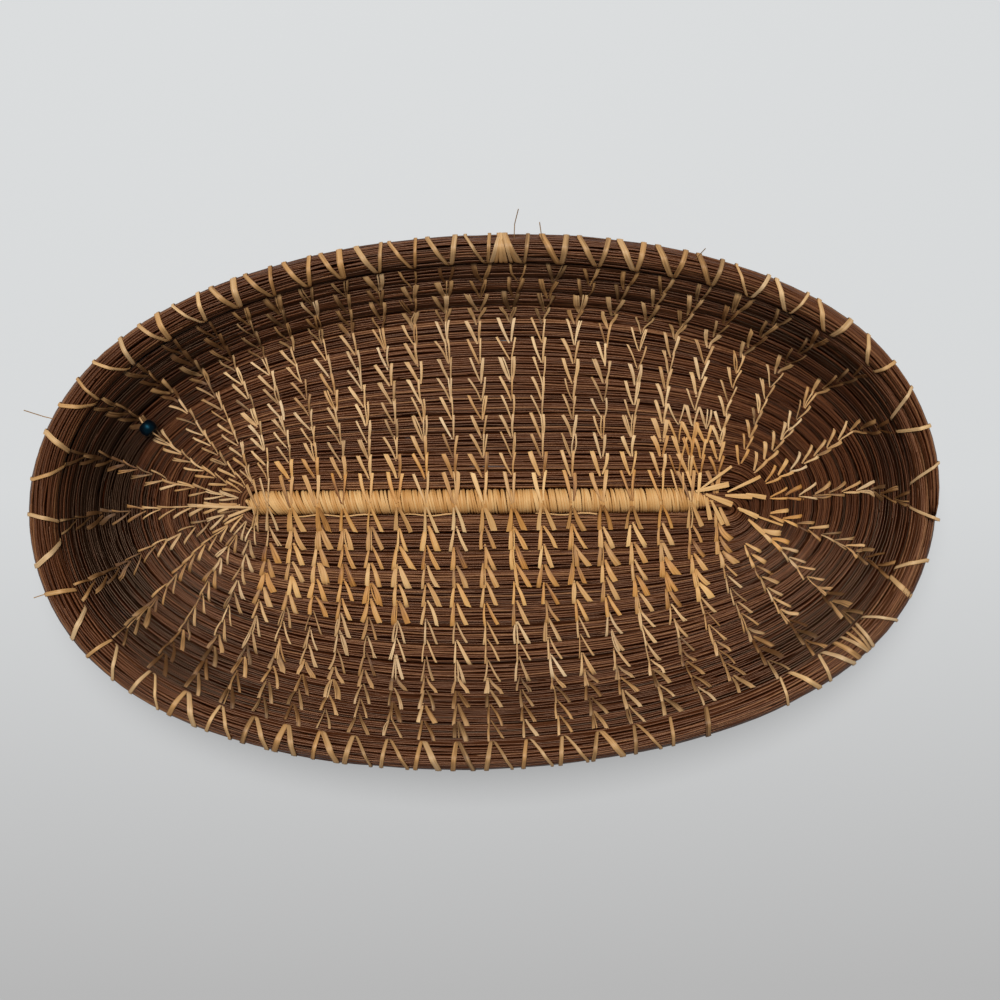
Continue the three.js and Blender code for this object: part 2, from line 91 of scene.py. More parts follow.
# %% Sizes of the coil
COIL_PITCH = 6.8
ROUND_GAP = 0.6
COIL_THICKNESS = 6.2
BASE_ROUNDS = 9
WALL_ROUNDS = 4
END_CENTRE = 84.5
END_GROWTH = 0.787
SIDE_BULGE = 0.688
CORE_SHIFT = 2
RIM_TWIST = math.radians(2)
SIDE_SLOPE = 51
END_SLOPE = 69
BEND_RADIUS = 6
RIM_WIDTH = 8.4
WRAP_RADIUS = 4.172
CORE_HEIGHT = 4.372
MIDDLE = COIL_THICKNESS / 2
COIL_HALF = (COIL_PITCH - ROUND_GAP) / 2
FIRST_REACH = WRAP_RADIUS + ROUND_GAP + COIL_HALF
LAST_ROUND = BASE_ROUNDS + WALL_ROUNDS
BASE_REACH = FIRST_REACH + (BASE_ROUNDS - 0.5) * COIL_PITCH
FULL = 2 * math.pi
QUARTER = math.pi / 2


def round_reach(number):
    return FIRST_REACH + (number - 1) * COIL_PITCH


RIM_REACH = round_reach(LAST_ROUND) + COIL_HALF + ROUND_GAP + RIM_WIDTH / 2
core_low, core_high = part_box("core_bundle")
core_y = (core_low.y + core_high.y) / 2
SHIFT = np.array([core_low.x / MM - (CORE_SHIFT - END_CENTRE), core_y / MM, 0])
print("base reach", round(BASE_REACH, 2), "rim reach", round(RIM_REACH, 2), "shift", SHIFT.round(2))

# %% Bend, slope and oval
NUDGE = 1e-3


def blend(start, end, share):
    return start + (end - start) * share


def wall_profile(bearing, reach):
    """Way out, way up and tilt of the wall at each place."""
    climb = np.maximum(reach - BASE_REACH, 0)
    slope = np.radians(blend(SIDE_SLOPE, END_SLOPE, np.cos(bearing) ** 2))
    bend = np.minimum(climb / BEND_RADIUS, slope)
    straight = np.maximum(climb - BEND_RADIUS * slope, 0)
    out = BEND_RADIUS * np.sin(bend) + straight * np.cos(slope)
    up = BEND_RADIUS * (1 - np.cos(bend)) + straight * np.sin(slope)
    return out, up, bend


def plan_distance(bearing, reach):
    """Distance from the middle of the tray to the edge line of the oval that faces a bearing."""
    flat = np.minimum(reach, BASE_REACH)
    bulge = SIDE_BULGE * flat * flat / BASE_REACH
    length = END_CENTRE + END_GROWTH * flat - (flat - bulge)
    oval = np.hypot(length * np.cos(bearing), bulge * np.sin(bearing))
    shift = CORE_SHIFT * (1 - reach / RIM_REACH) * np.cos(bearing)
    return oval + flat - bulge + shift + wall_profile(bearing, reach)[0]


def change(formula, bearing, reach):
    ahead, behind = formula(bearing + NUDGE, reach), formula(bearing - NUDGE, reach)
    return (ahead - behind) / (2 * NUDGE)


def plan_slope(bearing, reach):
    return change(plan_distance, bearing, reach)


def plan_radius(bearing, reach):
    return plan_distance(bearing, reach) + change(plan_slope, bearing, reach)


# %% Places on the surface
UPRIGHT = np.array([0.0, 0.0, 1.0])


def columns(*parts):
    """Points from their coordinates, some of which may be one number for all."""
    return np.stack(np.broadcast_arrays(*parts), -1)


def surface(bearing, reach):
    """Centre, way up the wall, way to the inside and way along, at each place."""
    bearing, reach = np.broadcast_arrays(np.asarray(bearing, float), np.asarray(reach, float))
    up, tilt = wall_profile(bearing, reach)[1:]
    turned = bearing + RIM_TWIST * reach / RIM_REACH
    away = columns(np.cos(turned), np.sin(turned), 0)
    along = columns(-np.sin(turned), np.cos(turned), 0)
    tilt = tilt[..., None]
    centre = away * plan_distance(bearing, reach)[..., None]
    centre = centre + along * plan_slope(bearing, reach)[..., None] + SHIFT
    centre[..., 2] = MIDDLE + up
    climb = away * np.cos(tilt) + UPRIGHT * np.sin(tilt)
    inside = UPRIGHT * np.cos(tilt) - away * np.sin(tilt)
    return centre, climb, inside, along


rim_spot = surface(np.array([0.0, QUARTER]), RIM_REACH)[0]
print("rim at the end and the side:", rim_spot.round(1).tolist())

# %% [markdown]
# ## The path of the coil
# The bundle winds clockwise seen from above and steps out by one pitch in the half turn round the
# right end. Its last stretch lies on the rim's own beginning and thins out to a tail. The half
# width is half the way to the next round, so neighbouring rounds touch.

# %% Sections along the coil
BUNDLE_HEIGHT = 2.8
RIM_HEIGHT = 3.9
TAIL_WIDTH = 2.6
TAIL_THICKNESS = 3
TAIL_START = math.radians(80)
TAIL_END = math.radians(-10)
FIRST_BEARING = math.radians(-86)
FIRST_TURN = QUARTER - FIRST_BEARING
WALL_TURN = BASE_ROUNDS * FULL + QUARTER / 2
RIM_TURN = LAST_ROUND * FULL + QUARTER / 2
THIN_TURN = (LAST_ROUND + 1) * FULL + QUARTER - TAIL_START
TAIL_TURN = (LAST_ROUND + 1) * FULL + QUARTER - TAIL_END


def rise(value, start, over):
    """Nought up to the start, and from there an even rise to one."""
    return np.clip((value - start) / over, 0, 1)


def coil(turn):
    """Bearing, reach, half width and half height of the bundle at each turn."""
    turn = np.asarray(turn, float)
    bearing = QUARTER - turn
    loop = np.floor(turn / FULL)
    part = turn - loop * FULL
    step = np.where(part < math.pi, (1 - np.cos(part)) / 2, 1)
    inner = round_reach(np.maximum(loop, 1))
    outer = np.where(loop >= LAST_ROUND, RIM_REACH, round_reach(loop + 1))
    reach = blend(inner, outer, step)
    here = surface(bearing, reach)[0]
    outside = np.linalg.norm(surface(bearing, reach + COIL_PITCH)[0] - here, axis=-1)
    on_rim = np.where(loop == LAST_ROUND, step, 0)
    width = blend(np.minimum(outside, COIL_PITCH) / 2, RIM_WIDTH / 2, on_rim)
    height = blend(BUNDLE_HEIGHT, RIM_HEIGHT, on_rim)
    thin = rise(turn, THIN_TURN, TAIL_TURN - THIN_TURN)
    tail_width = blend(RIM_WIDTH, TAIL_WIDTH, thin) / 2
    tail_height = blend(2 * RIM_HEIGHT, TAIL_THICKNESS, thin) / 2
    under = blend(round_reach(LAST_ROUND), RIM_REACH, step) + blend(COIL_HALF, RIM_WIDTH / 2, step)
    tail = under + ROUND_GAP / 2 + tail_width, tail_width, tail_height
    return bearing, *np.where(loop > LAST_ROUND, tail, (reach, width, height))


# %% The core, its turn back and the coil
CORE_HALF = 3.0
CORE_TIP = 4.5
CORE_POINTS = 72
BEND_HALF = 3.9
BEND_STRETCH = 4.9
BEND_POINTS = 24
TURN_STEP = math.radians(0.5)


def core_fields():
    """The straight core along X and the tight bend from its end back to the first round."""
    first = surface(FIRST_BEARING, FIRST_REACH)[0]
    radius = abs(first[1]) / 2
    share = np.linspace(0, 1, BEND_POINTS, endpoint=False)
    swing = blend(QUARTER, FIRST_BEARING, share)
    bend_x = first[0] + BEND_STRETCH * np.cos(swing)
    bend = columns(bend_x, radius * np.sin(swing) - radius, blend(CORE_HEIGHT, MIDDLE, share))
    straight = np.linspace(core_low.x / MM - CORE_TIP, first[0], CORE_POINTS, endpoint=False)
    centre = np.concatenate([columns(straight, 0, CORE_HEIGHT), bend])
    out = np.concatenate([0 * straight + QUARTER, swing])
    climb = columns(np.cos(out), np.sin(out), 0)
    swell = np.concatenate([0 * straight, np.sin(np.pi * share)])
    width = blend(CORE_HALF, BEND_HALF, swell)
    return centre, climb, np.tile(UPRIGHT, (len(out), 1)), width, 0 * width + BUNDLE_HEIGHT


def coil_fields(first, last):
    bearing, reach, width, height = coil(np.arange(first, last, TURN_STEP))
    return *surface(bearing, reach)[:3], width, height


stretches = [
    core_fields(),
    coil_fields(FIRST_TURN, WALL_TURN),
    coil_fields(WALL_TURN, RIM_TURN),
    coil_fields(RIM_TURN, TAIL_TURN),
]
path = np.concatenate([np.column_stack(fields) for fields in stretches])

# %% Ask the path for places by its length
LONGEST_STEP = 5.5
SHARPEST_BEND = 0.2
LEAST_STOPS = 4


def steps_of(points):
    return np.linalg.norm(np.diff(points, axis=0), axis=1)


def running(steps):
    """The sum of the steps before each point."""
    return np.concatenate([[0], np.cumsum(steps)])


path_steps, path_bends = steps_of(path[:, :3]), steps_of(path[:, 3:6])
path_at = running(path_steps)
path_ticks = running(np.maximum(path_steps / LONGEST_STEP, path_bends / SHARPEST_BEND))
stretch_ends = path_at[np.cumsum([len(fields[0]) for fields in stretches]) - 1]
core_end, _, wall_end, coil_end = stretch_ends
print("core, base, wall and rim end at", stretch_ends.round(), "mm along the bundle")


def path_stops(start, end):
    """Lengths from start to end, closer together where the path bends sharply."""
    first, last = np.interp([start, end], path_at, path_ticks)
    count = max(int(math.ceil(last - first)) + 1, LEAST_STOPS)
    return np.interp(np.linspace(first, last, count), path_ticks, path_at)


def path_places(lengths):
    """Centre, way up the wall, way to the inside, half width and half height at each length."""
    fields = columns(*[np.interp(lengths, path_at, column) for column in path.T])
    return np.split(fields, [3, 6, 9, 10], axis=1)


# %% [markdown]
# ## Shader maths that reads like maths
# A material is a net of nodes. This small class stands for one socket of that net: adding or
# multiplying two of them makes the Math node that does it, and one method makes any other node.

# %% A socket that can be calculated with
def feed(node, values):
    """Give the inputs of a node their values. A Tint is linked."""
    for name, value in values.items():
        if isinstance(value, Tint):
            value.tree.links.new(value.socket, node.inputs[name])
        else:
            node.inputs[name].default_value = value


class Tint:
    def __init__(self, tree, socket=None):
        self.tree = tree
        self.socket = socket

    def node(self, kind, sockets=None, output=0, **settings):
        made = self.tree.nodes.new("ShaderNode" + kind)
        for name, value in settings.items():
            setattr(made, name, value)
        feed(made, sockets or {})
        return Tint(self.tree, made.outputs[output])

    def other(self, output):
        """Another output of the same node."""
        return Tint(self.tree, self.socket.node.outputs[output])

    def math(self, operation, first, second):
        return self.node("Math", {0: first, 1: second}, operation=operation)

    def __add__(self, other):
        return self.math("ADD", self, other)

    def __sub__(self, other):
        return self.math("SUBTRACT", self, other)

    def __rsub__(self, other):
        return self.math("SUBTRACT", other, self)

    def __mul__(self, other):
        return self.math("MULTIPLY", self, other)


# %% Nodes that are often needed
def mesh_value(tint, name):
    """A number that is written on the points of a mesh."""
    return tint.node("Attribute", output=2, attribute_name=name)


def own_place(tint):
    return tint.node("TexCoord", output="Object")


def point(tint, x, y, z=0.0):
    return tint.node("CombineXYZ", {"X": x, "Y": y, "Z": z})


def noise(tint, place, scale, detail):
    return tint.node("TexNoise", {"Vector": place, "Scale": scale, "Detail": detail})


def bump(tint, height, strength):
    return tint.node("Bump", {"Height": height, "Strength": strength, "Distance": 0.2 * MM})


def mix(tint, share, first, second):
    return tint.node("Mix", {"Factor": share, "A": first, "B": second}, 2, data_type="RGBA")


def ramp(tint, share, stops):
    """A colour for each share, between stops whose colours are given as 0 to 255 values."""
    made = tint.node("ValToRGB", {"Fac": share})
    elements = made.socket.node.color_ramp.elements
    while len(elements) < len(stops):
        elements.new(0.5)
    for element, (place, colour) in zip(elements, stops):
        element.position = place
        element.color = written(colour)
    return made


def written(colour):
    """A colour from its usual 0 to 255 values to the linear values that a shader needs."""
    shares = [part / 255 for part in colour]
    return *(s / 12.92 if s <= 0.04045 else ((s + 0.055) / 1.055) ** 2.4 for s in shares), 1


def new_finish(name):
    material = bpy.data.materials.new(name)
    material.use_nodes = True
    shader = material.node_tree.nodes["Principled BSDF"]
    return material, shader, Tint(material.node_tree)


# %% [markdown]
# ## Needle brown
# Dried pine needles run from near black through red brown to a dusty pinkish tan. Each needle
# carries its own tone, so neighbours differ, and a slow noise along it makes it patchy. A smooth
# skin gives it a thin light line along its top.

# %% Needle finish
PATCHES_PER_M = 60
PATCH_SPREAD = 90
PATCHINESS = 0.55
DUSTINESS = 0.25

needle_finish, shader, tint = new_finish("needle_brown")
tone = mesh_value(tint, "tone")
lengthwise = point(tint, mesh_value(tint, "along") * PATCHES_PER_M, tone * PATCH_SPREAD)
patches = noise(tint, lengthwise, scale=1, detail=3)
dust = noise(tint, own_place(tint), scale=900, detail=2)
browns = [
    (0.0, (24, 7, 0)),
    (0.12, (42, 14, 2)),
    (0.35, (64, 30, 11)),
    (0.7, (88, 49, 26)),
    (1.0, (131, 89, 57)),
]
shade = tone + (patches - 0.5) * PATCHINESS + (dust - 0.5) * DUSTINESS
feed(shader, {
    "Base Color": ramp(tint, shade, browns),
    "Roughness": 0.44 - patches * 0.2,
    "Specular IOR Level": 0.36,
    "Specular Tint": (1.0, 0.64, 0.43, 1),
    "Normal": bump(tint, dust, strength=0.25),
})
print("needle finish:", len(needle_finish.node_tree.nodes), "nodes")

# %% [markdown]
# ## Dark filling as painted shade
# Hardly any light gets between the needles. The strands that fill the bundle there are painted
# nearly black brown and quite matt, in uneven patches, as painted shade in those gaps.

# %% Filling finish
filling_finish, shader, tint = new_finish("dark_filling")
painted_shade_patches = noise(tint, own_place(tint), scale=400, detail=2)
feed(shader, {
    # Nearly black brown and matt: painted shade between the needles.
    "Base Color": ramp(tint, painted_shade_patches, [(0.3, (30, 10, 3)), (0.7, (56, 25, 11))]),
    "Roughness": 1,
    "Specular IOR Level": 0,
})

# %% [markdown]
# ## Raffia straw
# Raffia is split palm leaf: flat strips with fine fibres along them, straw yellow to orange gold.
# On the wall it is greyer or olive and darker, partly with age and partly as painted shade. Each
# strip carries its own tone and its own share of gold. The fibres follow the strip's UV map,
# stretched along its length.

# %% Raffia finish
FIBRES_ACROSS = 4
FIBRE_SPREAD = 97
FIBRE_CONTRAST = 0.9
EDGE_DARKER = 0.25

raffia_finish, shader, tint = new_finish("raffia_straw")
gold = mesh_value(tint, "gold")
across = tint.node("SeparateXYZ", {"Vector": tint.node("UVMap", uv_map="UVMap")})
fibre_place = point(tint, across * FIBRES_ACROSS, across.other("Y"), gold * FIBRE_SPREAD)
fibres = noise(tint, fibre_place, scale=1, detail=3)
straws = [(0.0, (88, 62, 36)), (0.4, (180, 144, 100)), (1.0, (228, 198, 158))]
golds = [(0.0, (112, 64, 24)), (0.4, (204, 142, 70)), (1.0, (240, 196, 128))]
from_middle = (across - 0.5) * (across - 0.5) * 4
edge = from_middle * from_middle * EDGE_DARKER
shade = mesh_value(tint, "tone") + (fibres - 0.5) * FIBRE_CONTRAST - edge
feed(shader, {
    "Base Color": mix(tint, gold, ramp(tint, shade, straws), ramp(tint, shade, golds)),
    "Roughness": 0.62 - fibres * 0.2,
    "Specular IOR Level": 0.25,
    "Normal": bump(tint, fibres, strength=0.5),
})
print("raffia finish:", len(raffia_finish.node_tree.nodes), "nodes")

# %% [markdown]
# ## Round strands
# A needle is a thin round strand with pointed ends. A curve with a bevel makes it from a line of
# points, with a radius that shrinks to nothing at the tips. Four points per ring, shaded smooth,
# are enough for a needle. All strands of a curve become one mesh. Its points come ring by ring, so
# each gets a tone and a length, and the rings at the tips are merged into closed points.

# %% Strands to one mesh
NEEDLE_RING = 4
FILLING_RING = 8
Strand = namedtuple("Strand", "points radii tone")


def strand_curve(name, strands, ring):
    curve = bpy.data.curves.new(name, "CURVE")
    curve.dimensions = "3D"
    curve.bevel_depth = MM
    curve.bevel_resolution = (ring - 4) // 2
    for strand in strands:
        spline = curve.splines.new("POLY")
        spline.points.add(len(strand.points) - 1)
        flat = np.column_stack([strand.points * MM, np.ones(len(strand.points))])
        spline.points.foreach_set("co", flat.ravel())
        spline.points.foreach_set("radius", strand.radii)
    return curve


def modelled(name, work, finish):
    """An object from worked faces, in its finish."""
    mesh = bpy.data.meshes.new(name)
    work.to_mesh(mesh)
    work.free()
    mesh.materials.append(finish)
    print(name, "faces:", len(mesh.polygons))
    return add(name, mesh)


def strand_piece(name, strands, finish, ring):
    shape = bpy.data.objects.new(name, strand_curve(name, strands, ring))
    drawn = bpy.data.meshes.new_from_object(shape)
    bpy.data.curves.remove(shape.data)
    tones = [np.broadcast_to(strand.tone, len(strand.points)) for strand in strands]
    lengths = [running(steps_of(strand.points)) * MM for strand in strands]
    for attribute, parts in (("tone", tones), ("along", lengths)):
        values = np.repeat(np.concatenate(parts), ring).astype(np.float32)
        drawn.attributes.new(attribute, "FLOAT", "POINT").data.foreach_set("value", values)
    work = bmesh.new()
    work.from_mesh(drawn)
    bpy.data.meshes.remove(drawn)
    bmesh.ops.remove_doubles(work, verts=work.verts, dist=1e-7)
    piece = modelled(name, work, finish)
    piece.data.shade_smooth()
    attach(piece, "root")
    return piece


# %% [markdown]
# ## The needle bundle
# Thirty to forty needles make up the bundle, but only those on its outside show. They lie in lanes
# round the section. In each lane one needle follows another with overlapping tips and wanders a
# little, which leaves dark, uneven gaps. A dark strand along the middle closes the bundle to light.
# The rim is thicker, so it gets more lanes. The needles on the wall and at both ends are darker,
# and darkest in the corner under the left end of the wall, which is painted shade.

# %% Where the lanes lie
LANES = 24
RIM_LANES = 30
SQUARENESS = 0.56
SECTION_POINTS = 721
VALLEY_OUT = 1.34
VALLEY_LEVELS = (0.4, 0.72)

section_angle = np.linspace(0, FULL, SECTION_POINTS)
section = columns(np.cos(section_angle), np.sin(section_angle))
section = np.sign(section) * np.abs(section) ** SQUARENESS
section_share = running(steps_of(section))
section_share /= section_share[-1]


def on_bundle(share):
    """The place of a lane, by its share of the way round a section squarer than an ellipse."""
    def place(sway):
        spot = (share + sway / FULL) % 1
        return [np.interp(spot, section_share, column) for column in section.T]
    return place


def in_valley(level):
    """The place of a lane in the valley outside the bundle, at a share of the bundle's height."""
    return lambda sway: (VALLEY_OUT, level + sway)


# %% Darkening and painted shade: where each starts and over how many millimetres it grows
CORNER_X = (116, 16)
CORNER_TOP = (-24, 16)
END_X = (75, 30)
WALL_FOOT = (5, 5)
RIM_FOOT = (23, 5)
CORNER_PAINTED_SHADE = 1.9
SIDE_WALL_DARKENING = 0.14
END_WALL_DARKENING = 0.68
END_BASE_DARKENING = 0.35
RIM_LIGHTER = 0.22


def darkening_and_painted_shade(points):
    """How much darker the walls and the ends are, with painted shade darkest in the corner under
    the left end.
    """
    x, height = points[:, 0], points[:, 2]
    # The corner under the left end of the wall is painted darker: painted shade under the steep
    # wall.
    corner = rise(-x, *CORNER_X) * rise(-height, *CORNER_TOP)
    wall = rise(height, *WALL_FOOT)
    ends = rise(np.abs(x), *END_X)
    on_rim = rise(height, *RIM_FOOT)
    wall_darkening = (SIDE_WALL_DARKENING + END_WALL_DARKENING * ends) * wall
    below_rim = np.maximum.reduce([CORNER_PAINTED_SHADE * corner, wall_darkening, END_BASE_DARKENING * ends])
    return (1 - on_rim) * below_rim - RIM_LIGHTER * on_rim * ends


# %% One needle and one lane of needles
NEEDLE_RADIUS = 0.47
THICKNESSES = (0.82, 1.15)
NEEDLE_LENGTH = (140, 260)
TIP_TAPER = 14
TIP_ROUNDING = 0.6
TIP_OVERLAP = 16
TIP_DIP = 0.45
WANDER_LENGTH = (30, 100)
SWAY = 0.06
DIVE = 0.08
DEPTHS = (-0.05, 0.2)
DARKEST = 0.08
TONE_SHAPE = (1.7, 1.9)
NEEDLE_DARKENING = 0.55
needle_dice = np.random.default_rng(11)


def wander(lengths, size):
    """A slow, seeded sway along a needle."""
    swing = np.zeros_like(lengths)
    for part in (1.0, 0.5):
        wave = needle_dice.uniform(*WANDER_LENGTH) * part
        swing += part * np.sin(lengths * FULL / wave + needle_dice.uniform(0, FULL))
    return swing * size


def needle(start, end, place):
    lengths = path_stops(max(start, 0), min(end, coil_end))
    centre, climb, inside, width, height = path_places(lengths)
    from_tip = np.minimum(lengths - lengths[0], lengths[-1] - lengths)
    taper = rise(from_tip, 0, TIP_TAPER) ** TIP_ROUNDING
    radius = needle_dice.uniform(*THICKNESSES) * NEEDLE_RADIUS
    sway = needle_dice.uniform(-SWAY, SWAY) + wander(lengths, SWAY)
    sunk = wander(lengths, DIVE) + TIP_DIP * (1 - taper) + needle_dice.uniform(*DEPTHS)
    room = radius + sunk[:, None]
    across, up = place(sway[:, None])
    points = centre + climb * (width - room) * across + inside * (height - room) * up
    tone = DARKEST + (1 - DARKEST) * needle_dice.beta(*TONE_SHAPE)
    # The needle's tone is lowered where the walls and ends are darker, and by painted shade in the
    # left corner.
    return Strand(points, radius * taper, tone - NEEDLE_DARKENING * darkening_and_painted_shade(points))


def lane(place, first, last):
    """Needles one after another along one line of the bundle, each with its middle."""
    made = []
    start = first - needle_dice.uniform(0, NEEDLE_LENGTH[0])
    while start < last - TIP_OVERLAP:
        end = start + needle_dice.uniform(*NEEDLE_LENGTH)
        if end > TIP_OVERLAP:
            made.append((max((start + end) / 2, 0), needle(start, end, place)))
        start = end - TIP_OVERLAP
    return made


laid = []
for number in range(LANES):
    laid += lane(on_bundle(number / LANES), 0, wall_end)
for level in VALLEY_LEVELS:
    laid += lane(in_valley(level), core_end, wall_end - NEEDLE_LENGTH[1])
for number in range(RIM_LANES):
    laid += lane(on_bundle(number / RIM_LANES), wall_end, coil_end)

# %% Fill the middle and share the needles among the stretches of the coil
HEART_SHARE = 0.74
VALLEY_RADIUS = 1.1
bundles = {
    "core_needles": ("core_bundle", (-1, 1)),
    "base_needles": ("base_coil", (-1, 1)),
    "wall_needles": ("wall_coil", (1,)),
    "rim_needles": ("rim_coil", (-1,)),
}


def closed(points, radii):
    radii[[0, -1]] = 0
    return Strand(points, radii, 0.0)


def hearts(first, last, sides):
    """Strands painted dark as shade that fill the middle of one stretch and the valleys on its
    given sides.
    """
    centre, climb, inside, width, height = path_places(path_stops(first, last))
    made = [closed(centre, HEART_SHARE * np.minimum(width, height)[:, 0])]
    for side in sides:
        valley = centre + side * climb * width - inside * VALLEY_RADIUS
        made.append(closed(valley, np.full(len(valley), VALLEY_RADIUS)))
    return made


stretch_starts = np.concatenate([[0], stretch_ends[:-1]])
filling = []
for (name, (node, sides)), first, last in zip(bundles.items(), stretch_starts, stretch_ends):
    filling += hearts(max(first - TIP_TAPER, 0), last, sides)
    strands = [strand for middle, strand in laid if first <= middle < last]
    piece = strand_piece(name, strands, needle_finish, NEEDLE_RING)
    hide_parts(node)
strand_piece("inner_needles", filling, filling_finish, FILLING_RING)

# %% [markdown]
# ## Strips of raffia
# A stitch is a flat strip, narrow where it comes up through the coil and wider where it lies open.
# A small grid makes each strip: its rows are moved along a line of points and its columns out to
# the strip's width, with the middle column raised. A Solidify modifier gives it thickness.

# %% One strip from a grid
STRIP_THICKNESS = 0.2
STRIP_CROWN = 0.1
FIBRE_LENGTH = 9


def new_strips():
    work = bmesh.new()
    work.loops.layers.uv.new("UVMap")
    work.verts.layers.float.new("tone")
    work.verts.layers.float.new("gold")
    return work


def strip(work, points, facing, half_width, tone, gold, crown=STRIP_CROWN, slant=0.0):
    """One strip. Its half width and tone may change along it, and its end may be cut at a slant."""
    rows = len(points)
    half_width = np.broadcast_to(half_width, rows)
    tone = np.broadcast_to(tone, rows)
    length = steps_of(points).sum()
    forward = np.gradient(points, axis=0)
    forward /= np.linalg.norm(forward, axis=1, keepdims=True)
    side = np.cross(forward, facing)
    side /= np.linalg.norm(side, axis=1, keepdims=True)
    side[-1] += forward[-1] * slant
    tone_layer = work.verts.layers.float["tone"]
    gold_layer = work.verts.layers.float["gold"]
    uv_layer = work.loops.layers.uv["UVMap"]
    made = bmesh.ops.create_grid(work, x_segments=2, y_segments=rows - 1, size=1, calc_uvs=True)
    for vert in made["verts"]:
        across = vert.co.x
        row = round((vert.co.y + 1) / 2 * (rows - 1))
        spread = side[row] * across * half_width[row]
        raised = facing[row] * crown * (1 - across * across)
        vert.co = (points[row] + spread + raised) * MM
        vert[tone_layer] = tone[row]
        vert[gold_layer] = gold
        for loop in vert.link_loops:
            loop[uv_layer].uv.y *= length / FIBRE_LENGTH


def strip_piece(name, work):
    for edge in work.edges:
        edge.smooth = not edge.is_boundary
    for face in work.faces:
        face.smooth = True
    piece = modelled(name, work, raffia_finish)
    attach(piece, "root")
    solid = piece.modifiers.new("thickness", "SOLIDIFY")
    solid.thickness = STRIP_THICKNESS * MM
    solid.offset = 0
    return piece


# %% [markdown]
# ## The winding on the core
# Nearly two hundred turns of one narrow strip, a helix, cover the core side by side. Pitch, slant,
# width and tone vary a little from turn to turn, as in hand work. The first turns, at the left tip,
# lie at a marked slant. The winding is rounded at that tip and narrows over the right one.

# %% Core winding
WINDING_TURNS = 190
TURN_POINTS = 18
WINDING_CROWN = 0.34
WINDING_GOLD = 0.75
OVERHANGS = (3.5, 4)
TIP_LENGTH = 4
NARROW_LENGTH = 14
LEAST_TIPS = (0.1, 0.08)
LEFT_SLANT = 3.0
SLANT_LENGTH = 22
SLANTS = (0.0, 0.8)
SHIFTS = (-0.25, 0.25)
SWELLS = (-0.25, 0.05)
HALF_WIDTHS = (0.34, 0.47)
WINDING_TONES = (0.38, 0.82)
wrap_low, wrap_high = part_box("core_wrap")
WINDING_START = wrap_low.x / MM - OVERHANGS[0]
WINDING_END = wrap_high.x / MM + OVERHANGS[1]
winding_dice = np.random.default_rng(5)


def bar_share(x, least=(0, 0)):
    """The share of its full radius that the winding has, with the least share at either tip."""
    rounded = np.maximum(rise(x, WINDING_START, TIP_LENGTH), least[0])
    narrowed = np.maximum(rise(-x, -WINDING_END, NARROW_LENGTH), least[1])
    return np.sqrt(rounded * narrowed)


def winding(work):
    turn = np.arange(WINDING_TURNS * TURN_POINTS + 1) / TURN_POINTS
    knots = np.arange(WINDING_TURNS + 2)

    def uneven(limits):
        return np.interp(turn, knots, winding_dice.uniform(*limits, len(knots)))

    pitch = (WINDING_END - WINDING_START) / WINDING_TURNS
    angle = turn * FULL
    gone = turn * pitch
    left_slant = LEFT_SLANT * np.exp(-gone / SLANT_LENGTH) * rise(gone, 0, 2 * TIP_LENGTH)
    slant = uneven(SLANTS) + left_slant
    x = WINDING_START + gone + uneven(SHIFTS) * pitch - slant * np.cos(angle)
    radius = (WRAP_RADIUS + uneven(SWELLS)) * bar_share(x, LEAST_TIPS)
    facing = columns(0, np.cos(angle), np.sin(angle))
    points = facing * radius[:, None] + columns(x, 0, CORE_HEIGHT)
    width, tone = uneven(HALF_WIDTHS), uneven(WINDING_TONES)
    strip(work, points, facing, width, tone, WINDING_GOLD, WINDING_CROWN)


wrap_work = new_strips()
winding(wrap_work)
core_winding = strip_piece("core_winding", wrap_work)
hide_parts("core_wrap")

# %% [markdown]
# ## Rows of stitches
# Fifty rows run from the core to the rim and cross each round squarely, so they are followed step
# by step across the oval. They lie a little closer together at the left end. Where a row crosses
# the bundle, one V lies over it: it rises in the valley on the core side, and its two legs end in
# the next valley. One leg keeps to the row, the other leans counter-clockwise.

# %% Follow the rows
ROWS = 50
ROW_STEP = 0.1
MIDDLE_ROUND = 5
ROW_SHIFT = 8.2
ROW_CROWDING = 2
START_POINTS = 2001
LEAST_TURN = 0.5
OUTERMOST = RIM_REACH + 1.5 * RIM_WIDTH


def row_starts():
    bearing = np.linspace(0, FULL, START_POINTS)
    lengths = running(steps_of(surface(bearing, round_reach(MIDDLE_ROUND))[0]))
    even = np.arange(ROWS) / ROWS
    shift = ROW_SHIFT * np.sin(FULL * even) - ROW_CROWDING * np.sin(2 * FULL * even)
    return np.interp(even * lengths[-1] + shift, lengths, bearing)


def follow(bearing, end, step):
    """Bearings of all rows at each reach, from the middle round to one end."""
    reach = round_reach(MIDDLE_ROUND)
    reaches, bearings = [reach], [bearing]
    while (end - reach) * step > 0:
        middle = reach + step / 2
        turning = plan_slope(bearing, middle + NUDGE) - plan_slope(bearing, middle - NUDGE)
        radius = np.maximum(plan_radius(bearing, middle), LEAST_TURN)
        bearing = bearing - step * turning / (2 * NUDGE) / radius
        reach = reach + step
        reaches.append(reach)
        bearings.append(bearing)
    return reaches, bearings


outward = follow(row_starts(), OUTERMOST, ROW_STEP)
inward = follow(row_starts(), FIRST_REACH - COIL_HALF, -ROW_STEP)
track_reach, track_bearing = [np.array(i[:0:-1] + o) for i, o in zip(inward, outward)]
print("rows followed over reaches", track_reach[0].round(1), "to", track_reach[-1].round(1))


def row_bearing(row, reach):
    return np.interp(reach, track_reach, track_bearing[:, row])


# %% Where the rows cross the coil
CROSSING_TRIES = 5
THIN_TAIL = 0.6 * RIM_WIDTH / 2
Crossing = namedtuple("Crossing", "reach width height")


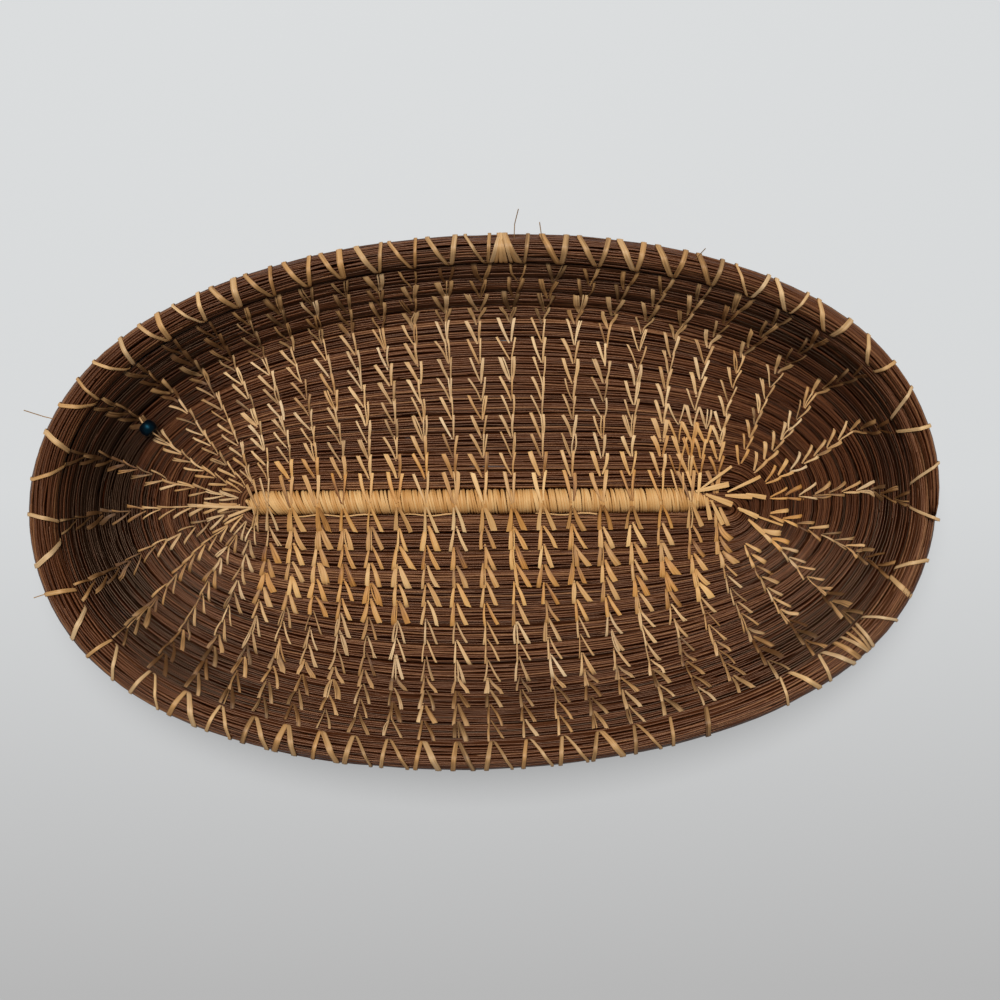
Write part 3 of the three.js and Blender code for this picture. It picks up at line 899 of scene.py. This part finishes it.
def crossings(row):
    """The rounds up to the rim, and those to wrap at the rim: two where the outermost is thin."""
    found = []
    for loop in range(LAST_ROUND + 2):
        reach = round_reach(max(loop, 1))
        for _ in range(CROSSING_TRIES):
            turn = loop * FULL + (QUARTER - row_bearing(row, reach)) % FULL
            reach, width, height = (float(part) for part in coil(turn)[1:])
        if FIRST_TURN < turn < TAIL_TURN:
            found.append(Crossing(reach, width, height))
    wrapped = 2 if found[-1].width < THIN_TAIL else 1
    return found[:-wrapped], found[-wrapped:]


inner_rounds, rim_rounds = zip(*[crossings(row) for row in range(ROWS)])
print("rounds sewn by the first rows:", [len(found) for found in inner_rounds[:6]])

# %% [markdown]
# ## A leg of a stitch
# Each leg is laid out in reach and sideways offset, lifted by the height of the bundle under it
# and drawn into the valley at its end. Next to the core the rows run straight on, over the wound
# bar. On the wall towards the right end they drift clockwise, because each stitch there was pulled
# through the side of the one before it.

# %% Lay one line on the surface
STRAIGHT_REACH = FIRST_REACH + COIL_HALF
LEAST_RADIUS = 6.0
DRIFT = 0.3
DRIFT_BEARING = math.radians(35)


def drift(bearing, reach):
    facing_right = np.maximum(np.cos(bearing - DRIFT_BEARING), 0)
    return -DRIFT * facing_right * np.maximum(reach - BASE_REACH, 0)


def lay(row, reach, aside, lift):
    """Points and facing of a line given by reach, sideways offset and height over the surface."""
    held = np.maximum(reach, STRAIGHT_REACH)
    bearing = row_bearing(row, held)
    aside = aside + drift(bearing, held)
    rounding = aside * aside / (2 * np.maximum(plan_radius(bearing, held), LEAST_RADIUS))
    centre, climb, inside, along = surface(bearing, held)
    centre = centre + climb * (reach - held - rounding)[:, None] + along * aside[:, None]
    return centre + inside * lift[:, None], inside


def row_space(row, reach):
    here, nought = np.array([reach]), np.zeros(1)
    spots = [lay((row + way) % ROWS, here, nought, nought)[0][0] for way in (-1, 0, 1)]
    return steps_of(np.array(spots)).min()


# %% Heights under a leg
LEG_LIFT = 0.22
LEAST_DOME = 0.05


def taut(share, height):
    """The line of a strip pulled tight over the given heights."""
    hull = []
    for spot in zip(share, height):
        while len(hull) > 1:
            (x0, y0), (x1, y1) = hull[-2:]
            if (x1 - x0) * (spot[1] - y0) < (y1 - y0) * (spot[0] - x0):
                break
            hull.pop()
        hull.append(spot)
    return np.interp(share, *np.transpose(hull))


def bar_height(points):
    """How far the wound bar stands over the middle of the coil at each point."""
    radius = WRAP_RADIUS * bar_share(points[:, 0])
    top = np.sqrt(np.maximum(radius ** 2 - points[:, 1] ** 2, 0))
    return np.where(top > 0, CORE_HEIGHT - MIDDLE + top, 0)


def leg_heights(reach, crossing, floor):
    """Height of the bundle under a leg; the leg stays up at its start and dives at its end."""
    off = (reach - crossing.reach) / crossing.width
    dome = np.maximum(1 - np.abs(off) ** (2 / SQUARENESS), LEAST_DOME) ** (SQUARENESS / 2)
    return crossing.height * np.where(off < 0, np.maximum(dome, floor), dome) + LEG_LIFT


# %% One leg
LEG_POINTS = 9
LEG_SHARE = np.linspace(0, 1, LEG_POINTS)
LEG_START = 0.8
LEAF = 1.9
LEAF_START = 0.42
APART = 0.3
BOW = 0.25
CUT = 0.25
TIP_LIGHTER = 0.2
EVEN_SHARE = 0.6
STRIP_DARKENING = 0.4
stitch_dice = np.random.default_rng(23)


def leg(work, row, crossing, first, last, lean, looks, offset=0.0):
    """One leg from first to last, leaning sideways by lean and beside the row by offset, in mm."""
    width, tone, gold = looks
    reach = blend(first, last, LEG_SHARE)
    bow = stitch_dice.normal(0, BOW) * np.sin(np.pi * LEG_SHARE)
    aside = offset + np.sign(lean) * APART * width + lean * LEG_SHARE + bow
    lift = leg_heights(reach, crossing, LEG_START)
    if first < FIRST_REACH:
        over = bar_height(lay(row, reach, aside, lift)[0])
        lift = taut(LEG_SHARE, np.maximum(lift, over + LEG_LIFT))
    points, facing = lay(row, reach, aside, lift)
    half = width / 2 * blend(LEAF_START, 1, np.sin(LEAF * LEG_SHARE))
    slant = stitch_dice.normal(0, CUT) - lean / (last - first)
    # The strip's tone is lowered the same way, including the painted shade in the left corner.
    tones = tone + TIP_LIGHTER * (LEG_SHARE - EVEN_SHARE) - STRIP_DARKENING * np.minimum(darkening_and_painted_shade(points), 1)
    strip(work, points, facing, half, tones, gold, slant=slant)


# %% [markdown]
# ## One V and its looks
# Near the core and in a band on the near side the strips are wide and golden; further out on the
# base they are thin and pale; on the wall they are wider again, short and dull. Loose fibres that
# split off a strip lie beside some of them.

# %% Looks of a stitch by its place
Looks = namedtuple("Looks", "widths tone spread golds")
LEFT_PALE = Looks((0.6, 1.05), 0.59, 0.13, (0.1, 0.5))
PALE = Looks((0.62, 1.2), 0.59, 0.13, (0.1, 0.5))
FAR_GOLDEN = Looks((0.9, 1.6), 0.56, 0.12, (0.45, 0.95))
NEAR_GOLDEN = Looks((1.1, 2.1), 0.56, 0.12, (0.45, 0.95))
# On the wall the strips are painted duller and darker, partly for age and partly as painted shade.
DULL = Looks((0.8, 1.8), 0.34, 0.12, (0.05, 0.4))
STITCH_TONES = (0.1, 1)
LEFT_X = -60
BAND_X = 85
BAND_ROUNDS = (3, 4, 5, 6)
BAND_WIDTHS = (1.2, 2.2)
BAND_DARKER = 0.05
FAN_GOLD = (60, 4)
BAR_GOLD = (-70, 2)


def drawn_looks(dice, looks):
    """Width, tone and share of gold of one strip."""
    width = dice.uniform(*looks.widths)
    tone = dice.normal(looks.tone, looks.spread)
    return width, tone, dice.uniform(*looks.golds)


def stitch_looks(place, number):
    """Looks of a stitch over the round of this number. A later draw replaces an earlier one."""
    x, y = place[:2]
    width, tone, gold = drawn_looks(stitch_dice, LEFT_PALE if x < LEFT_X else PALE)
    golden_band = y < 0 and abs(x) < BAND_X and number in BAND_ROUNDS
    golden_end = any(x > start and number <= last for start, last in (FAN_GOLD, BAR_GOLD))
    if golden_band or golden_end:
        width, tone, gold = drawn_looks(stitch_dice, FAR_GOLDEN if y > 0 else NEAR_GOLDEN)
    if golden_band:
        width = stitch_dice.uniform(*BAND_WIDTHS)
        tone -= BAND_DARKER
    if number > BASE_ROUNDS:
        width, tone, gold = drawn_looks(stitch_dice, DULL)
    return width, float(np.clip(tone, *STITCH_TONES)), gold


# %% One V over one round
STEM = (-0.11, 0.8)
BRANCH = (0.52, 1.0)
LEAN_SPREAD = 0.07
LEAN_LIMITS = np.array([-0.2, 0.5])
START_SPREAD = 0.1
END_SHORTER = (-0.08, 0.05)
WIDTH_SPREAD = (0.8, 1.2)
TONE_SPREAD = 0.1
LEG_TONES = (0.05, 1)
SPLIT_CHANCE = 0.5
SPLIT_ASIDE = (-0.12, 0.16)
SPLIT_WIDTH = 0.4
SPLIT_LIGHTER = 0.1


def stitch(work, row, crossing, start, end, looks, offset=0.0):
    width, tone, gold = looks
    pitch = min(end - start, COIL_PITCH)
    space = row_space(row, end)
    for lean, narrow in (STEM, BRANCH):
        lean = (lean + stitch_dice.normal(0, LEAN_SPREAD)) * pitch
        lean = float(np.clip(lean, *LEAN_LIMITS * space))
        first = start + stitch_dice.uniform(-START_SPREAD, START_SPREAD) * pitch
        last = end + stitch_dice.normal(*END_SHORTER) * pitch
        shown = width * narrow * stitch_dice.uniform(*WIDTH_SPREAD)
        one_tone = float(np.clip(tone + stitch_dice.normal(0, TONE_SPREAD), *LEG_TONES))
        leg(work, row, crossing, first, last, lean, (shown, one_tone, gold), offset)
        if stitch_dice.random() < SPLIT_CHANCE:
            aside = lean + stitch_dice.uniform(*SPLIT_ASIDE) * min(pitch, space)
            fibre = (SPLIT_WIDTH, one_tone + SPLIT_LIGHTER, gold)
            leg(work, row, crossing, first, last, aside, fibre, offset)


# %% [markdown]
# ## A whole row
# A row has one V per round, from the core to the round under the rim. Stitches are left out where
# rows come too close together, at the tips of the core. On the far side near the right tip, extra
# narrow stitches crowd in. The last round of a row, or the last two where the tail of the coil is
# thin, belong to the wraps over the rim.

# %% All stitches of one row
LEAST_ROW_SPACE = 3.3
OVERLAP = 0.35
CROWDED = (66, 77)
CROWDED_ROUNDS = 5
CROWDED_OFFSETS = (-3.0, 3.0)
CROWDED_WIDTH = 0.7
CROWDED_SPREAD = 0.4
CROWDED_FANNING = 0.2
FAR_BAR_START = 0.0
NEAR_BAR_START = 2.0
FAN_X = 84
FAN_ROUNDS = 2


def stitch_row(work, row):
    inner = inner_rounds[row]
    before = inner[0].reach - 2 * inner[0].width
    later = inner[-1].reach + 2 * inner[-1].width
    reaches = np.array([before, *[crossing.reach for crossing in inner], later])
    valleys = (reaches[:-1] + reaches[1:]) / 2
    for number, crossing in enumerate(inner):
        valley, end = valleys[number:number + 2]
        start = valley - OVERLAP * (end - valley)
        place = surface(row_bearing(row, crossing.reach), crossing.reach)[0]
        x, y = place[:2]
        in_fan = x > FAN_X and number < FAN_ROUNDS or x < -FAN_X and number == 0
        if in_fan or row_space(row, end) < LEAST_ROW_SPACE:
            continue
        if number == 0 and abs(x) < WINDING_END:
            start = FAR_BAR_START if y > 0 else NEAR_BAR_START
        stitch(work, row, crossing, start, end, stitch_looks(place, number + 1))
        if CROWDED[0] < x < CROWDED[1] and y > 0 and number < CROWDED_ROUNDS:
            for offset in CROWDED_OFFSETS:
                offset *= 1 + CROWDED_FANNING * number
                offset += stitch_dice.normal(0, CROWDED_SPREAD)
                width, tone, gold = stitch_looks(place, number + 1)
                looks = (CROWDED_WIDTH * width, tone, gold)
                stitch(work, row, crossing, start, end, looks, offset)


# %% [markdown]
# ## Wraps over the rim
# At the rim each row ends in two strips that rise from the valley under the rim, cross it and go
# down outside. One keeps to the row or leans clockwise a little, the other leans counter-clockwise,
# so that the strips are about evenly spaced on the top of the rim. On the near right two rows have
# only the first of the two, and the next row has none.

# %% One wrap over the rim
WRAP_POINTS = 25
WRAP_FROM = math.radians(165)
WRAP_TO = math.radians(-150)
WRAP_LIFT = 0.16
WRAP_START = 0.4
WRAP_WIDENING = 2.2
LEAN_SHARE = 0.55
POWER = 2 / SQUARENESS
DUAL = POWER / (POWER - 1)


def around(rounds, angle):
    """Across and up of a strip round one or two rounds, where it faces each angle."""
    facing = columns(np.cos(angle), np.sin(angle))
    spots, farthest = [], []
    for crossing in rounds:
        away = np.array([crossing.reach - rounds[0].reach, 0])
        halves = np.array([crossing.width, crossing.height]) + WRAP_LIFT
        sides = np.abs(facing * halves) ** DUAL
        size = sides.sum(axis=1, keepdims=True) ** (1 / DUAL)
        spots.append(away + sides / size ** DUAL * size / facing)
        farthest.append(facing @ away + size[:, 0])
    outer = np.argmax(farthest, axis=0)
    return np.array(spots)[outer, np.arange(len(angle))]


def rim_wrap(work, bearing, rounds, lean, looks):
    width, tone, gold = looks
    share = np.linspace(0, 1, WRAP_POINTS)
    angle = blend(WRAP_FROM, WRAP_TO, share)
    across, up = around(rounds, angle).T
    gone = running(np.hypot(np.diff(across), np.diff(up)))
    aside = lean * np.minimum(gone / gone[-1] / LEAN_SHARE, 1)
    turned = bearing + aside / plan_radius(bearing, rounds[0].reach)
    centre, climb, inside, _ = surface(turned, rounds[0].reach)
    points = centre + climb * across[:, None] + inside * up[:, None]
    facing = climb * np.cos(angle)[:, None] + inside * np.sin(angle)[:, None]
    half = width / 2 * np.minimum(WRAP_START + WRAP_WIDENING * share, 1)
    strip(work, points, facing, half, tone, gold)


# %% The wraps at the end of one row
WRAP_LEANS = (-0.12, 0.52)
WRAP_LEAN_SPREAD = 0.05
MOST_LEAN = 7.5
FEWER_WRAPS = [((58, 84), 1), ((84, 97), 0)]
END_WRAPS = Looks((0.9, 1.9), 0.64, 0.1, (0.1, 0.5))
SIDE_WRAPS = Looks((1.1, 2.2), 0.38, 0.1, (0.1, 0.5))
WRAP_TONES = (0.15, 0.9)
rim_dice = np.random.default_rng(31)


def rim_end(row):
    """The rounds to wrap, and the bearing, radius of turning, spot and way along at a row's end."""
    rounds = rim_rounds[row]
    reach = rounds[0].reach
    bearing = row_bearing(row, reach)
    bearing = bearing + drift(bearing, reach) / plan_radius(bearing, reach)
    spot, _, _, along = surface(bearing, reach)
    return rounds, bearing, plan_radius(bearing, reach), spot, along


def rim_looks(place):
    looks = END_WRAPS if abs(place[0]) > END_CENTRE else SIDE_WRAPS
    width, tone, gold = drawn_looks(rim_dice, looks)
    return width, float(np.clip(tone, *WRAP_TONES)), gold


def rim_leans(place):
    """How far each wrap of a row leans, as a share of the space between rows."""
    for (start, end), count in FEWER_WRAPS:
        if place[1] < 0 and start < place[0] < end:
            return WRAP_LEANS[:count]
    return WRAP_LEANS


def wrap_row(work, row):
    rounds, bearing, radius, place, _ = rim_end(row)
    space = row_space(row, rounds[0].reach)
    for lean in rim_leans(place):
        lean = (lean + rim_dice.normal(0, WRAP_LEAN_SPREAD)) * space
        shift = lean - np.clip(lean, -MOST_LEAN, MOST_LEAN)
        rim_wrap(work, bearing + shift / radius, rounds, lean - shift, rim_looks(place))


# %% [markdown]
# ## Lashings on the rim
# Where a strip of raffia starts or ends, a few extra turns hold it: in the middle of the far rim
# and on the near right rim. They crowd together and draw close on the outside.

# %% Lash the rim at a place
LASHINGS = [("far", (6, 92), 6, 2.0), ("right", (126, -47), 4, 2.8)]
LASH_DRAW = 0.8
LASH_SPREAD = 0.7
LASH_LOOKS = [(0.8, 1.8), (0.35, 0.7), (0.1, 0.6)]


def nearest_row(place):
    spots = np.array([rim_end(row)[3][:2] for row in range(ROWS)])
    return int(np.argmin(np.linalg.norm(spots - place, axis=1)))


def lash(work, place, turns, step):
    rounds, bearing, radius, spot, along = rim_end(nearest_row(place))
    start = float(np.dot(np.array([*place, spot[2]]) - spot, along))
    for number in range(turns):
        aside = start + (number - turns / 2) * step
        lean = LASH_DRAW * (start - aside) + rim_dice.normal(0, LASH_SPREAD)
        looks = [rim_dice.uniform(*limits) for limits in LASH_LOOKS]
        rim_wrap(work, bearing + aside / radius, rounds, lean, looks)


# %% [markdown]
# ## The outer face
# Outside, each stitch shows only where it passes from one round to the next: one short slanted
# strip per round and row.

# %% Strips on the outer face
OUTER_LEAN = -2.2
OUTER_LEANS = (0.6, 1.3)
OUTER_LOOKS = [(0.9, 1.5), (0.35, 0.6), (0.1, 0.5)]


def outer_row(work, row):
    for crossing in inner_rounds[row]:
        first, last = crossing.reach - crossing.width, crossing.reach + crossing.width
        if row_space(row, first) < LEAST_ROW_SPACE:
            continue
        reach = blend(first, last, LEG_SHARE)
        sunk = leg_heights(reach, crossing, 0)
        lean = OUTER_LEAN * stitch_dice.uniform(*OUTER_LEANS)
        points, inside = lay(row, reach, lean * (LEG_SHARE - 0.5), -sunk)
        points[:, 2] = np.maximum(points[:, 2], STRIP_THICKNESS)
        width, tone, gold = [stitch_dice.uniform(*limits) for limits in OUTER_LOOKS]
        strip(work, points, -inside, width / 2, tone, gold)


# %% Sew every row
side_names = ["right", "far", "left", "near"]
side_work = {name: new_strips() for name in side_names}
side_rows = {name: [] for name in side_names}
for row in range(ROWS):
    x, y = surface(row_bearing(row, BASE_REACH), BASE_REACH)[0][:2]
    if abs(x) > END_CENTRE:
        name = "right" if x > 0 else "left"
    else:
        name = "far" if y > 0 else "near"
    side_rows[name].append(row)
    for sew in (stitch_row, wrap_row, outer_row):
        sew(side_work[name], row)
for name, *lashing in LASHINGS:
    lash(side_work[name], *lashing)
for name in side_names:
    piece = strip_piece(f"stitches_{name}", side_work[name])
    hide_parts(*[f"stitch_row_{row + 1:02d}" for row in side_rows[name]])

# %% [markdown]
# ## The bead
# One small dark glass bead is threaded on a row near the left end, with its hole along the row. It
# is an oval section spun round the hole. Glass of this age is not even, so its blue varies.

# %% Bead glass
bead_finish, shader, tint = new_finish("bead_glass")
cloud = noise(tint, own_place(tint), scale=500, detail=2)
feed(shader, {
    "Base Color": ramp(tint, cloud, [(0.35, (2, 3, 7)), (0.65, (4, 13, 20))]),
    "Roughness": cloud * 0.2 + 0.25,
    "Specular IOR Level": 0.2,
    "Specular Tint": (0.1, 0.6, 0.9, 1),
})

# %% Bead shape
BEAD_RADIUS = 3
BEAD_HOLE = 0.7
BEAD_LENGTH = 4.6
BEAD_BEARING = math.radians(138)
bead_low, bead_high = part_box("glass_bead")
bead_middle = (bead_low + bead_high) / 2
bead_reach = round_reach(BASE_ROUNDS)
row_bearings = np.array([row_bearing(row, bead_reach) for row in range(ROWS)])
bead_row = int(np.argmin(np.abs(row_bearings - BEAD_BEARING)))
bead_axis = Vector(surface(row_bearings[bead_row], bead_reach)[1])

wall = (BEAD_RADIUS - BEAD_HOLE) / 2
off_axis = Matrix.Translation(((BEAD_RADIUS - wall) * MM, 0, 0))
oval = Matrix.Diagonal((wall * MM, BEAD_LENGTH / 2 * MM, 1, 1))
bead_work = bmesh.new()
circle = bmesh.ops.create_circle(
    bead_work, segments=12, radius=1,
    matrix=off_axis @ Matrix.Rotation(QUARTER, 4, "X") @ oval,
)
bmesh.ops.spin(
    bead_work, geom=circle["verts"] + bead_work.edges[:], axis=(0, 0, 1), cent=(0, 0, 0),
    angle=FULL, steps=24, use_merge=True,
)
bmesh.ops.recalc_face_normals(bead_work, faces=bead_work.faces)
along_row = Vector((0, 0, 1)).rotation_difference(bead_axis).to_matrix().to_4x4()
bead_place = Matrix.Translation(bead_middle) @ along_row
bmesh.ops.transform(bead_work, matrix=bead_place, verts=bead_work.verts)
bead = modelled("bead", bead_work, bead_finish)
bead.data.shade_smooth()
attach(bead, "root")
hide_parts("glass_bead")

# %% [markdown]
# ## Loose raffia
# Strands fan out from the core's left tip, and wide strips lie over the turn at its right tip. Some
# thin ends lie along the lower edge of the winding, a strip passes through the bead, and a few
# hairs of raffia stand off the rim.

# %% One loose strip
COIL_TOP = MIDDLE + BUNDLE_HEIGHT + LEG_LIFT
LOOSE_START = 0.4
loose_dice = np.random.default_rng(41)
loose_work = new_strips()


def loose(points, width, tone, gold):
    points = np.array(points, float)
    share = np.linspace(0, 1, len(points))
    line = columns(*[np.interp(LEG_SHARE, share, column) for column in points.T])
    half = width / 2 * blend(LOOSE_START, 1, np.sin(LEAF * LEG_SHARE))
    strip(loose_work, line, np.tile(UPRIGHT, (LEG_POINTS, 1)), half, tone, gold)


# %% Strands at the left tip of the core: heading and length
LEFT_STRANDS = [(178, 20), (200, 9.5), (281, 6.5)]
LEFT_TIP = np.array([WINDING_START + 2, -1.5, CORE_HEIGHT + 2.6])
LEFT_WIDTHS = (0.6, 1.1)
LYING = 0.15
TOUCH_DOWN = 0.4

for heading, length in LEFT_STRANDS:
    turned = math.radians(heading)
    out = np.array([math.cos(turned), math.sin(turned), 0]) * length
    strand = np.array([LEFT_TIP, LEFT_TIP + out * TOUCH_DOWN, LEFT_TIP + out])
    strand[1:, 2] = COIL_TOP + LYING
    loose(strand, loose_dice.uniform(*LEFT_WIDTHS), tone=0.66, gold=0.4)

# %% Strips over the right tip of the core: start, end and width
RIGHT_STRIPS = [
    ((75.4, 3.0), (87.9, 12.1), 1.0),
    ((75.1, 3.2), (86.9, 5.7), 1.9),
    ((78.6, 2.2), (88.2, -1.6), 2.0),
    ((78.8, 0.9), (80.5, -7.0), 1.6),
    ((80.6, 0.0), (85.0, -8.8), 1.5),
    ((85.6, 1.7), (95.3, 1.2), 1.8),
    ((93.0, 2.2), (100.4, 0.8), 1.6),
    ((86.4, 2.9), (98.4, 8.4), 1.2),
    ((90.2, -2.8), (97.6, -6.2), 1.7),
    ((94.1, -7.0), (99.9, -12.2), 1.6),
    ((90.6, -3.6), (106.5, -9.2), 0.7),
]
RIGHT_TONES = (0.5, 0.72)


def tip_height(points):
    """Height of the needles round the core's right tip, where the core turns down to the base."""
    core_tip = path_places([core_end])[0][0, 0]
    on_turn = points[:, 0] < core_tip + BEND_STRETCH + BEND_HALF
    raised = np.clip(1 + points[:, 1] / FIRST_REACH, 0, 1) * (CORE_HEIGHT - MIDDLE)
    return COIL_TOP + np.where(on_turn, raised, 0)


for start, end, width in RIGHT_STRIPS:
    way = np.linspace(start, end, LEG_POINTS)
    height = np.maximum(tip_height(way), MIDDLE + bar_height(way) + LEG_LIFT)
    line = np.column_stack([way, taut(LEG_SHARE, height)])
    loose(line, width, loose_dice.uniform(*RIGHT_TONES), gold=0.75)

# %% Thin ends along the winding and the strip through the bead
THIN_ENDS = [(-71, -56), (-64, -40), (-30, -12), (18, 40)]
THIN_GAP = 0.4
THIN_SWAY = 0.35
THIN_WAVE = 2.5
THREAD_ENDS = 6.5
THREAD_HOLE = 2.6

for start, end in THIN_ENDS:
    x = np.linspace(start, end, LEG_POINTS)
    y = THIN_SWAY * np.sin(x / THIN_WAVE) - WRAP_RADIUS - THIN_GAP
    loose(columns(x, y, COIL_TOP), width=0.45, tone=0.62, gold=0.6)
centre = np.array(bead_middle) / MM
places = [-THREAD_ENDS, -THREAD_HOLE, 0, THREAD_HOLE, THREAD_ENDS]
thread = np.array([centre + place * np.array(bead_axis) for place in places])
thread[[0, -1], 2] -= centre[2] - COIL_TOP
loose(thread, width=0.6, tone=0.6, gold=0.3)

# %% Hairs on the rim: where each one ends
HAIRS = [(12, 98, 37), (-153, 33, 36), (-152, -30, 34), (74, 85, 35), (19, 94, 35)]
HAIR_SPREAD = 0.8

rim_line = path_places(path_stops(wall_end, coil_end))[0]
for end in HAIRS:
    start = rim_line[np.argmin(np.linalg.norm(rim_line[:, :2] - end[:2], axis=1))]
    bent = (start + np.array(end)) / 2 + loose_dice.normal(0, HAIR_SPREAD, 3)
    loose([start, bent, end], width=0.2, tone=0.35, gold=0.05)
strip_piece("loose_raffia", loose_work)

# %% [markdown]
# ## Floor
# The tray lies on a plain pale surface. Its tone is painted a little darker towards the near edge,
# as painted shade where the light from the far side falls off. Seen by the camera the floor mostly
# shows its own tone, so that hardly any shadow falls on it; to the tray it is an ordinary pale
# surface that throws some light back.

# %% Floor
FLOOR_NEAR = written((190, 190, 190))
FLOOR_FAR = written((218, 220, 221))
OWN_TONE = 0.6


def seen_directly(tint):
    """One for what the camera sees, also in a mirror or through glass, and nought for light."""
    camera_ray = tint.node("LightPath")
    mirrored = camera_ray.other("Is Glossy Ray") + camera_ray.other("Is Transmission Ray")
    return tint.math("MINIMUM", camera_ray + mirrored, 1)


floor_finish, shader, tint = new_finish("pale_floor")
# The floor's tone is painted darker towards the near edge: painted falloff of the light from the
# far side.
depth = tint.node("SeparateXYZ", {"Vector": own_place(tint)}, "Y")
painted_light_falloff = tint.node("MapRange", {"Value": depth, "From Min": -0.18, "From Max": 0.005})
pale = mix(tint, painted_light_falloff, FLOOR_NEAR, FLOOR_FAR)
feed(shader, {"Base Color": pale, "Roughness": 0.9, "Specular IOR Level": 0})
matt = Tint(tint.tree, shader.outputs[0])
glow = tint.node("Emission", {"Color": pale, "Strength": 1})
shown = tint.node("MixShader", {0: seen_directly(tint) * OWN_TONE, 1: matt, 2: glow})
feed(floor_finish.node_tree.nodes["Material Output"], {"Surface": shown})

floor_work = bmesh.new()
bmesh.ops.create_grid(floor_work, x_segments=1, y_segments=1, size=1.5)
floor = modelled("floor", floor_work, floor_finish)

# %% [markdown]
# ## Light
# One wide soft lamp hangs almost straight above, a little to the far side: the base is bright, the
# walls fall off with their slope, and the far inner wall is the darkest. A weak even sky fills
# the gaps between the needles.

# %% Lamp and sky
SKY_LEVEL = 0.05
SKY_SHOWN = 0.55
LAMP_PLACE = Vector((-0.06, 0.5, 1.3))
LAMP_WATTS = 19.8

world = bpy.data.worlds.new("sky")
world.use_nodes = True
sky_strength = seen_directly(Tint(world.node_tree)) * SKY_SHOWN + SKY_LEVEL
feed(world.node_tree.nodes["Background"], {"Color": (1, 1, 1, 1), "Strength": sky_strength})
bpy.context.scene.world = world
lamp = add("window", bpy.data.lights.new("window", "AREA"))
lamp.data.energy = LAMP_WATTS
lamp.data.size = 0.7
lamp.location = LAMP_PLACE
lamp.rotation_euler = (-LAMP_PLACE).to_track_quat("-Z", "Y").to_euler()
print("lamp at", LAMP_PLACE[:], "with", LAMP_WATTS, "W")
